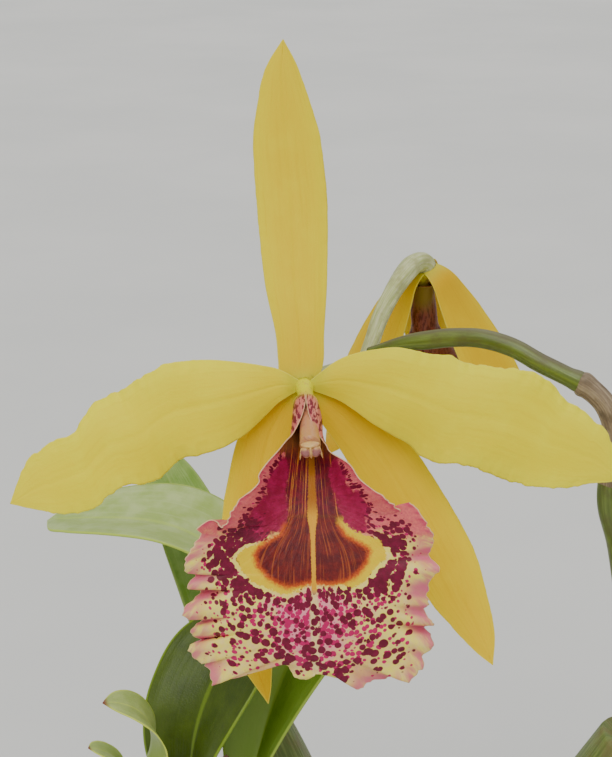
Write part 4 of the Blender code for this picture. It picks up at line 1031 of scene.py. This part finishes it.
def lip_fields(grid, at, outs, fold):
    """Fields for the lip's markings at each of its points."""
    seen = seen_plane(grid)
    x, y = seen[..., 0], seen[..., 1]
    zero = np.zeros_like(x)
    station = at[:, None] + zero
    reach = lengths(grid, axis=1)
    edge = np.minimum(reach, reach[:, -1:] - reach)
    edge = np.minimum(edge, (at[-1] - station) * 2.2 + 0.15)
    open_part = ramp(station, 5.0, 6.0)

    # Ways from the fan's centre and from the midline
    aside, down = x - FAN_CENTRE[0], FAN_CENTRE[1] - y
    away = np.hypot(aside, down)
    middle_x = MIDLINE_X + 0.023 * np.clip(-24.7 - y, 0, 40)
    height = np.clip(y, -62, 0)
    fan = (x - middle_x) / profile(FAN_WIDTHS, height)
    from_middle = np.abs(aside - 0.5)
    halo = inside(seen, HALO)
    crimson = np.maximum(inside(seen, CRIMSON_LEFT), inside(seen, CRIMSON_RIGHT))

    # Spots run together round the eyes, below them and along the crimson sides
    beyond = np.maximum(-halo, 0)
    lower = ramp(-y, 30.5, 34.5)
    central = ramp(from_middle, 9.0, 6.0)
    flank = ramp(from_middle, 9.0, 13.0) * ramp(y, -47.0, -42.0)
    beside = flank * ramp(-y, 25.5, 30.0) * ramp(edge, 2.0, 4.5)
    rim = bell(crimson, -1, 1) * ramp(edge, 0.6, 1.6)
    along_sides = np.maximum(rim, beside) * (1 - lower)
    blotch = 0.6 * ramp(beyond, 3.2, 0.6) + 0.74 * flank * ramp(beyond, 7.5, 3.0)
    foot = 0.16 * ramp(from_middle, 11.0, 7.0) * ramp(y, -50.0, -57.0)
    blotch = np.clip(np.maximum(blotch, foot), 0, 1) * lower + 0.85 * along_sides
    thin_out = ramp(edge, 0.9 - 0.6 * central, 4.6 - 2.8 * central) * ramp(beyond, 0.0, 1.0)
    bottom = ramp(y, -61.5, -56.0 - 0.24 * np.clip(np.abs(aside) - 7, 0, 10))
    spots = thin_out * (0.6 + 0.4 * np.maximum(bottom, central)) * lower
    spots *= 1 - 0.2 * ramp(np.abs(aside), 13.0, 22.0)
    return {
        "seen": np.stack([x, y, 0.25 * grid[..., 2]], -1),
        "ray": np.stack([np.arctan2(aside, down) * 22.0, away, zero], -1),
        "fan": np.stack([fan, away, zero], -1),
        "edge": edge,
        "pleat": fold,
        "halo": halo * open_part - (1 - open_part),
        "eye": inside(seen, EYES) * open_part - 4 * (1 - open_part),
        "crimson": crimson,
        "throat": np.where(np.abs(outs) < 0.8, inside(seen, THROAT), -1.0) + 3 * (1 - open_part),
        "midline": np.abs(x - middle_x) / profile(MIDLINE_WIDTHS, height),
        "low": ramp(-y, 24.0, 30.0) + ramp(-y, 41.0, 46.5),
        "upper": ramp(y, -37.5, -28.5),
        "under": ramp(-y, 25.5, 31.5),
        "central": central,
        "roof": ramp(y, -16.5, -11.0),
        "claw": ramp(station, 2.6, 0.9),
        "rose": bell(x, 2, 10.5) * bell(y, -53, 8.5) + 0.25 * bell(beyond, 3, 3),
        "spots": spots + 0.55 * along_sides,
        "blotch": blotch,
        "base": ramp(station, 7.5, 5.5),
    }


def swung(points, angle):
    """Points swung about the column's foot, up towards the bloom's face where the angle is negative."""
    cos, sin = math.cos(angle), math.sin(angle)
    return (points - COLUMN[0]) @ np.array([[1, 0, 0], [0, cos, sin], [0, -sin, cos]]) + COLUMN[0]


def make_lips():
    plain = ((0, 1), (13, 1))
    rear = (REAR_LIP_WIDTHS, REAR_LIP_LENGTHS)
    # The last value is how much brown painted shade covers the lip: the rear lip sits in shadow between its
    # tepals
    for name, sizes, matrix, swing, painted_shade in (
        ("lip", (*LIP_MESH, plain, plain, True), FRONT, 0.0, 0.0),
        ("rear_lip", (*REAR_LIP_MESH, *rear, False), REAR, REAR_LIP_SWING, 0.72),
    ):
        grid, at, outs, fold = lip_grid(*sizes)
        fields = lip_fields(grid, at, outs, fold)
        world = to_world(swung(grid, swing), matrix)
        mesh = sheet_mesh(name + "_blade", world, thickness(fields, LIP_MARGIN), fields, flip=True)
        place_piece(mesh, lip_look(name + "_skin", painted_shade), "lip_spotted", name)


def leaf_grid(length, half_width, first, last, late, widths, rows, columns, seed):
    """A folded, arching leaf that leans towards +X, with its foot at the origin."""
    shares = np.linspace(0, 0.999, rows + 1)
    fine = np.linspace(0, 1, 200)
    bent = fine**late / (fine**late + (1 - fine) ** late)
    angle = np.radians(first + (last - first) * bent)
    spine_x, spine_z = (
        np.interp(shares, fine, np.cumsum(part) * length / 200) for part in (np.sin(angle), np.cos(angle))
    )
    lean = np.interp(shares, fine, angle)
    width = half_width * profile(widths, shares)
    fold = np.radians(profile(LEAF_FOLDS, shares)) * (NARROW_LEAF_FOLD if half_width < NARROW_LEAF else 1)
    across = np.linspace(-1, 1, columns + 1)
    grid = np.empty((rows + 1, columns + 1, 3))
    for j, side in enumerate(across):
        wave = 0.022 * half_width * side**2 * ripple(shares * 5 + 3 * side, seed) * hump(shares)
        rise = width * (math.sqrt(side**2 + 0.02) - 0.14) * np.sin(fold) + wave
        grid[:, j, 0] = spine_x - rise * np.cos(lean)
        grid[:, j, 1] = width * side * np.cos(fold)
        grid[:, j, 2] = spine_z + rise * np.sin(lean)
    return grid, across, shares


def bulb_spine(name, shares):
    """Centre line of a pseudobulb: upright at its foot, leaning more towards its top."""
    (x, y), (lean_x, lean_y, height), _ = PSEUDOBULBS[name]
    shares = np.asarray(shares, float)
    bent = shares**1.4
    return np.column_stack([x + lean_x * bent, y + lean_y * bent, BULB_SEAT + height * shares])


def make_leaves():
    # Ground, pale clouds, margin and back, then the painted light on the left half and the tip of those that
    # have one
    dark = ((62, 80, 8), (82, 102, 16), (132, 160, 40), (98, 118, 34))
    bright = ((94, 128, 18), (116, 152, 34), (156, 186, 52), (110, 134, 36))
    # The fifth colour is painted light on the bright leaf's left half, which the lamps leave in shade
    bright_with_painted_light = ((106, 140, 32), (124, 156, 46), (164, 192, 72), (112, 140, 44), (158, 192, 84))
    hazy = ((112, 146, 46), (150, 174, 92), (156, 178, 90), (112, 134, 60))
    pale = ((154, 178, 84), (188, 204, 138), (186, 208, 84), (132, 160, 62))
    young = ((150, 170, 84), (186, 200, 124), (206, 220, 84), (132, 160, 56), None, (128, 66, 44))
    looks = {
        "leaf_pale": pale,
        "leaf_bright": bright_with_painted_light,
        "leaf_dark": dark,
        "leaf_back": hazy,
        "young_leaf": young,
        "young_leaf_small": young,
    }
    for seed, (name, leaf) in enumerate(LEAVES.items()):
        bulb, place, toward, length, half_width, first, last, late = leaf
        thick = LEAF_THICKNESS if half_width > NARROW_LEAF else YOUNG_LEAF_THICKNESS
        widths = YOUNG_LEAF_WIDTHS if name.startswith("young") else LEAF_WIDTHS
        widths = PALE_LEAF_WIDTHS if name == "leaf_pale" else widths
        mesh_size = LEAF_MESH if half_width > NARROW_LEAF else NARROW_LEAF_MESH
        grid, across, shares = leaf_grid(length, half_width, first, last, late, widths, *mesh_size, seed)
        rest = GAP + thick / 2 * math.sin(math.radians(abs(first))) - grid[0, :, 2].min()
        foot = bulb_spine(bulb, [1.0])[0] + np.array([*place, rest])
        fields = blade_fields(grid / MM, across, shares)
        thick = thick * (0.35 + 0.55 * ramp(fields["edge"], 0.0, 3.0))
        turn = np.array(Matrix.Rotation(math.radians(toward), 3, "Z"))
        if name == "dry_sheath":
            fields["skin"] = fields["blade"]
            material = paper_look("dry_sheath_skin", (168, 138, 106), (96, 68, 48))
            slot = "dry_sheath_brown"
        else:
            colours = looks.get(name, bright)
            material = leaf_look(name + "_skin", *colours)
            slot = "leaf_pale_green" if colours in (pale, young) else "leaf_green"
        mesh = sheet_mesh(name + "_blade", grid @ turn.T + foot, thick, fields, flip=True)
        place_piece(mesh, material, slot, name)


def ring_frames(spine, ends):
    """Two directions across the spine at each of its points, carried along without twist."""
    heading = np.gradient(spine, axis=0)
    for k, direction in zip((0, -1), ends):
        if direction is not None:
            heading[k] = direction
    heading /= np.linalg.norm(heading, axis=1)[:, None]
    side = np.empty_like(spine)
    previous = np.array([1.0, 0.0, 0.0]) if abs(heading[0][0]) < 0.8 else np.array([0.0, 1.0, 0.0])
    for k, direction in enumerate(heading):
        across = previous - direction * np.dot(previous, direction)
        previous = side[k] = across / np.linalg.norm(across)
    return side, np.cross(heading, side)


def stem_mesh(name, spine, radii, ends=(None, None), twist=0.0, split=0.0):
    """A round stem or, with a split, a sheath that is open by that share of the turn on each side
    of its first line. radii has a row for each point of the spine and a column for each side."""
    side, other = ring_frames(spine, ends)
    count = radii.shape[1]
    turns = np.linspace(split, 1 - split, count) if split else np.arange(count) / count
    share = np.linspace(0, 1, len(spine))[:, None]
    angle = 2 * math.pi * turns + twist * share
    rim = side[:, None] * np.cos(angle)[..., None] + other[:, None] * np.sin(angle)[..., None]
    points = spine[:, None] + radii[..., None] * rim
    run = lengths(spine)[:, None] / MM
    girth = radii.mean() * 2 * math.pi / MM
    zero = np.zeros_like(angle)
    fields = {
        "skin": np.stack([turns * girth + zero, run + zero, zero], -1),
        "share": share + zero,
        "sky": ramp(rim[..., 2], 0.55, 0.95),
    }
    if split:
        return sheet_mesh(name, points, np.full(angle.shape, SHEATH_THICKNESS), fields)
    index = np.arange(angle.size).reshape(angle.shape)
    ahead = np.roll(index, -1, axis=1)
    quads = np.stack([index[:-1], ahead[:-1], ahead[1:], index[1:]], -1).reshape(-1, 4)
    faces = quads.tolist() + [index[0][::-1].tolist(), index[-1].tolist()]
    return new_mesh(name, points, faces, fields)


def circle(sides):
    return np.linspace(0, 2 * math.pi, sides, endpoint=False)


def tear_top(mesh, torn):
    """Pulls the top of a sheath down in ragged tongues."""
    points = np.empty(3 * len(mesh.vertices))
    mesh.vertices.foreach_get("co", points)
    faces = points.reshape(2, -1, len(torn), 3)
    at = np.arange(faces.shape[1])
    for j, drop in enumerate(0.10 + 0.16 * np.clip(torn + 0.25, 0, 1)):
        for face in faces:
            face[:, j] = np.stack([np.interp(at * (1 - drop), at, axis) for axis in face[:, j].T], 1)
    mesh.vertices.foreach_set("co", points)
    mesh.update()


def make_pseudobulbs():
    skin = stem_look("pseudobulb_skin", (92, 110, 44), (132, 146, 74), (120, 112, 62), 0.7, 0.45, 1.2)
    paper = paper_look("papery_sheath", (206, 192, 160), (138, 112, 80))
    upright = (0, 0, 1)
    shares = np.linspace(0, 1, 90)
    rings = 0.03 * sum(bell(shares, node, 0.012) for node in BULB_NODES)
    for seed, (name, (_, _, radius)) in enumerate(PSEUDOBULBS.items()):
        grooves = 0.035 * np.abs(np.sin(4.5 * circle(56) + seed)) ** 0.6
        uneven = (0.012 * ripple(shares * 6, seed + 20) + rings)[:, None]
        radii = radius * profile(BULB_PROFILE, shares)[:, None]
        radii = radii * (0.975 - grooves * hump(shares, 0.5)[:, None] + uneven)
        radii *= 1 - 0.25 * ramp(shares, 0.985, 1.0)[:, None]
        body = stem_mesh(name + "_body", bulb_spine(name, shares), radii, (upright, upright))
        place_piece(body, skin, "pseudobulb_skin", name)

        # The sheath's foot, its flared and torn top, and the split along one side
        lower = np.linspace(0.015, SHEATH_TOPS[name], 60)
        part = np.linspace(0, 1, 60)[:, None]
        torn = ripple(np.linspace(0, 9, 44), seed + 40, 3)
        reach = radius * (profile(BULB_PROFILE, lower) * (1 + 0.012 * ripple(lower * 30, seed)))[:, None]
        radii = reach + SHEATH_GAP + SHEATH_FLARE * ramp(part, 0.8, 1.0) + 0.0002 * torn * part
        split = 0.04 + 0.03 * (seed % 3)
        sheath = stem_mesh(name + "_sheath", bulb_spine(name, lower), radii, (upright, None), 0.3, split)
        tear_top(sheath, torn)
        place_piece(sheath, paper, "dry_sheath_brown")


def make_rhizomes():
    skin = stem_look("rhizome_skin", (96, 88, 48), (132, 122, 78), (92, 70, 48), 1.2, 0.7, 1.6)
    shares = np.linspace(0, 1, 160)
    rings = 0.9 + 0.10 * np.abs(np.sin(8 * math.pi * shares)) ** 8
    ends = 1 - 0.35 * (ramp(shares, 0.04, 0.0) + ramp(shares, 0.96, 1.0))
    for seed, (name, places) in enumerate(RHIZOMES.items()):
        spine = np.insert(along(places, shares), 2, BARK_LEVEL + GAP + RHIZOME_RADIUS, axis=1)
        lumps = 1 + 0.03 * ripple(np.linspace(0, 12, 40), seed + 60)
        mesh = stem_mesh(name + "_body", spine, RHIZOME_RADIUS * (ends * rings)[:, None] * lumps)
        place_piece(mesh, skin, "rhizome_skin", name)


def peduncle_spine(shares):
    """The flower stem from its far end down to the pseudobulb, in world metres."""
    upper = to_world(np.array(PEDUNCLE), FRONT)
    foot = bulb_spine("pseudobulb_flowering", [1.0])[0] + (0, 0, 2 * GAP)
    return along([*upper, foot + (0, 0, 0.012), foot], shares)


def make_peduncle():
    skin = stem_look("peduncle_skin", (92, 108, 32), (120, 138, 56), (96, 96, 44), 0.8, 0.4, 0.3, 0.6)
    shares = np.linspace(0, 1, 320)
    # Thicker at the joint and from the bract's end down, and tapered to the far end
    radius = PEDUNCLE_RADIUS * (1 + 0.02 * ripple(shares * 30, 70))
    radius += 0.0003 * bell(shares, NODE_AT, 0.010)
    radius[shares >= BRACT_TO] = PEDUNCLE_RADIUS * 1.13
    radius *= 1 - 0.5 * ramp(shares, 0.10, 0.0)
    radii = radius[:, None] * np.ones(28)
    mesh = stem_mesh("peduncle_stem", peduncle_spine(shares), radii, (None, (0, 0, -1)))
    place_piece(mesh, skin, "peduncle_green", "peduncle")

    skin = stem_look("bract_skin", (128, 108, 84), (178, 158, 128), (98, 80, 58), 0.9, 0.6, 1.0, 0.3)
    swell = profile(BRACT_PROFILE, np.linspace(0, 1, 130))
    radii = BRACT_RADIUS * swell[:, None] * (1 + 0.03 * np.sin(3 * circle(36)))
    spine = peduncle_spine(np.linspace(NODE_AT, BRACT_TO + 0.004, 130))
    place_piece(stem_mesh("peduncle_bract", spine, radii), skin, "peduncle_green")


def make_ovaries():
    skin = stem_look("ovary_skin", (178, 188, 112), (216, 216, 168), (164, 164, 104), 1.2, 0.4, 0.5)
    shares = np.linspace(0, 1, 110)
    flare = 0.98 * MM * (1 + 0.16 * ramp(shares, 0.94, 1.0))
    ribs = 1 + 0.06 * np.cos(OVARY_RIBS * circle(48)) * ramp(shares, 1.0, 0.85)[:, None]
    radii = (profile(OVARY_RADII, shares) * flare)[:, None] * ribs
    for name, points, faces in (("ovary", OVARY, (0, 0, 1)), ("rear_ovary", REAR_OVARY, REAR_BLOOM_FACES)):
        spine = to_world(along(points, shares), FRONT)
        ends = (None, FRONT[:3, :3] @ np.array(Vector(faces).normalized()))
        mesh = stem_mesh(name + "_body", spine, radii, ends, math.radians(80))
        place_piece(mesh, skin, "ovary_green", name)


def fused(name, blobs, matrix):
    """One smooth skin round ellipsoids, each given by centre, radii and turn in millimetres."""
    bm = bmesh.new()
    for centre, radii, turn in blobs:
        place = Matrix.Translation(centre) @ turn @ Matrix.Diagonal((*radii, 1.0))
        bmesh.ops.create_icosphere(bm, subdivisions=4, radius=1.0, matrix=place)
    mesh = bpy.data.meshes.new(name)
    bm.to_mesh(mesh)
    bm.free()
    mesh.transform(Matrix.Scale(MM, 4))
    shell = link(name + "_shell", mesh)
    remesh = shell.modifiers.new("fuse", "REMESH")
    remesh.mode = "VOXEL"
    remesh.voxel_size = CAP_VOXEL * MM
    shell.modifiers.new("smooth", "SMOOTH").iterations = 6
    bpy.context.view_layer.update()
    baked = bpy.data.meshes.new_from_object(shell.evaluated_get(bpy.context.evaluated_depsgraph_get()))
    bpy.data.objects.remove(shell)
    bpy.data.meshes.remove(mesh)
    baked.transform(Matrix(matrix.tolist()))
    baked.name = name
    return baked


def make_columns():
    skin = column_look("column_skin")
    cap_skin = cap_look("anther_cap_skin")
    shares = np.linspace(0, 1, 70)
    keel = 1 + 0.035 * np.cos(2 * circle(36)) * ramp(shares, 0.2, 0.8)[:, None]
    radii = 0.96 * MM * profile(COLUMN_RADII, shares)[:, None] * keel
    for prefix, matrix, swing in (("", FRONT, 0.0), ("rear_", REAR, REAR_LIP_SWING)):
        spine = swung(along(COLUMN, shares), swing)
        ends = (matrix[:3, 2], None)
        mesh = stem_mesh(prefix + "column_body", to_world(spine, matrix), radii, ends)
        place_piece(mesh, skin, "column_cream", prefix + "column")

        # The cap sits on the column's end, in a frame whose y goes on along the column
        heading = spine[-1] - spine[-2]
        heading /= np.linalg.norm(heading)
        centre = Vector(spine[-1] + heading * CAP_AHEAD)
        turn = Vector(heading).to_track_quat("Y", "Z").to_matrix()
        blobs = [
            (centre + turn @ Vector(at), size, turn.to_4x4() @ Matrix.Rotation(tilt, 4, "Y"))
            for at, size, tilt in CAP_BLOBS
        ]
        cap = fused(prefix + "anther_cap_body", blobs, matrix)
        points = np.array([v.co[:] for v in cap.vertices])
        lobes = np.zeros(len(points))
        for at, _, _ in blobs[2::2]:
            away = np.linalg.norm(points - to_world(np.array(at), matrix), axis=1) / MM
            lobes = np.maximum(lobes, ramp(away, 1.35, 0.85))
        add_fields(cap, {"lobe": lobes})
        place_piece(cap, cap_skin, "anther_cream", prefix + "anther_cap")


def inner_width(height):
    """Width of the pot's inside at a height above its base."""
    share = (height - POT_WALL) / (POT_HEIGHT - POT_WALL)
    return POT_BASE + (POT_TOP - POT_BASE) * share - 2 * POT_WALL


def chip_template():
    """Corners and faces of a block two units wide, cut into smaller faces."""
    bm = bmesh.new()
    bmesh.ops.create_cube(bm, size=2.0)
    bmesh.ops.subdivide_edges(bm, edges=bm.edges[:], cuts=3, use_grid_fill=True)
    bm.verts.index_update()
    corners = np.array([v.co[:] for v in bm.verts])
    faces = np.array([[v.index for v in f.verts] for f in bm.faces])
    bm.free()
    return corners, faces


def make_bark():
    """Loose bark chips over a dark bed, inside the pot."""
    draw = random.Random(4)
    noise.seed_set(4)
    corners, faces = chip_template()
    block = corners * (1 - 0.16 * np.clip(np.sum(corners[:, :2] ** 4, axis=1) - 0.9, 0, 1))[:, None]
    reach = inner_width(BARK_LEVEL) / 2 - CHIP_FROM_WALL
    lines = [along(places, np.linspace(0, 1, 30)) for places in RHIZOMES.values()]
    bed_half = 0.99 * (inner_width(BED_TOP) / 2 - 2 * GAP)
    chips = [block * [bed_half, bed_half, BED_HALF_HEIGHT] + [0, 0, BED_TOP - BED_HALF_HEIGHT]]
    tones = [0.0]
    for seed in range(CHIP_COUNT):
        x, y = draw.uniform(-reach, reach), draw.uniform(-reach, reach)
        near = min(np.hypot(line[:, 0] - x, line[:, 1] - y).min() for line in lines)
        size = [draw.uniform(*limits) for limits in CHIP_SIZES]
        lift = 0.0 if near < RHIZOME_RADIUS + CHIP_FROM_RHIZOME else draw.uniform(0.0, CHIP_LIFT)
        turn = Matrix.Identity(3)
        for low, high, axis in ((0, math.pi, "Z"), (-0.25, 0.25, "X"), (-0.2, 0.2, "Y")):
            turn = turn @ Matrix.Rotation(draw.uniform(low, high), 3, axis)
        chip = (block * size) @ np.array(turn).T + [x, y, CHIP_FOOT + lift]
        shake = np.array([noise.noise_vector(Vector(point * 420 + seed)) for point in chip])
        chips.append(chip + CHIP_SHAKE * shake)
        tones.append(draw.uniform(0, 1) ** 2)
    quads = np.concatenate([faces + k * len(corners) for k in range(len(chips))])
    fields = {"tone": np.repeat(tones, len(corners))}
    mesh = new_mesh("bark_chips", np.concatenate(chips), quads.tolist(), fields)
    place_piece(mesh, bark_look("bark_skin"), "bark", "bark_medium")
    mesh.shade_flat()


def make_pot():
    """The CAD pot with its material, and with soft edges."""
    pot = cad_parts["pot"]
    pot.data.materials.clear()
    pot.data.materials.append(pot_look("pot_skin"))
    bevel = pot.modifiers.new("edges", "BEVEL")
    bevel.width = 0.0005
    bevel.segments = 3
    bevel.limit_method = "ANGLE"
    bevel.angle_limit = math.radians(40)
    pot.data.shade_smooth()
    pot.modifiers.new("normals", "WEIGHTED_NORMAL").keep_sharp = True


def make_stage():
    bm = bmesh.new()
    bmesh.ops.create_grid(bm, x_segments=4, y_segments=4, size=40.0)
    mesh = bpy.data.meshes.new("floor")
    bm.to_mesh(mesh)
    bm.free()
    mesh.materials.append(floor_look("floor_skin"))
    floor = link("floor", mesh)


def add_sun(name, towards, strength, softness, colour):
    sun = bpy.data.lights.new(name, "SUN")
    sun.energy = strength
    sun.angle = math.radians(softness)
    sun.color = colour
    light = link(name, sun)
    light.location = (0.0, 0.0, 1.0)
    light.rotation_euler = Vector(towards).to_track_quat("-Z", "Y").to_euler()


def make_light():
    """A bright overcast sky over the bench: broad light from above and in front, a little fill."""
    add_sun("sky_light", (0.16, 0.64, -1.0), 2.05, 50.0, (1.0, 0.99, 0.96))
    add_sun("back_light", (-0.2, -0.55, -1.0), 0.7, 60.0, (0.96, 0.98, 1.0))
    world = bpy.data.worlds.new("studio")
    world.use_nodes = True
    background = world.node_tree.nodes["Background"]
    background.inputs["Color"].default_value = (0.98, 0.99, 1.0, 1.0)
    background.inputs["Strength"].default_value = 0.45
    bpy.context.scene.world = world


def make_camera():
    """The photo's view: 20 degrees down at the front bloom from 320 mm away."""
    data = bpy.data.cameras.new("camera")
    data.lens = LENS
    data.sensor_width = 36.0
    data.clip_start = 0.01
    camera = link("camera", data)
    camera.location = to_world(np.array([*VIEW_SHIFT_MM, VIEW_DISTANCE_MM]), FRONT)
    camera.rotation_euler = (math.pi / 2 - BLOOM_LEANS_BACK, 0, 0)
    bpy.context.scene.camera = camera


make_camera()
make_light()
make_stage()
make_pot()
make_bark()
make_rhizomes()
make_pseudobulbs()
make_leaves()
make_peduncle()
make_ovaries()
make_columns()
make_lips()
make_front_tepals()
make_rear_tepals()
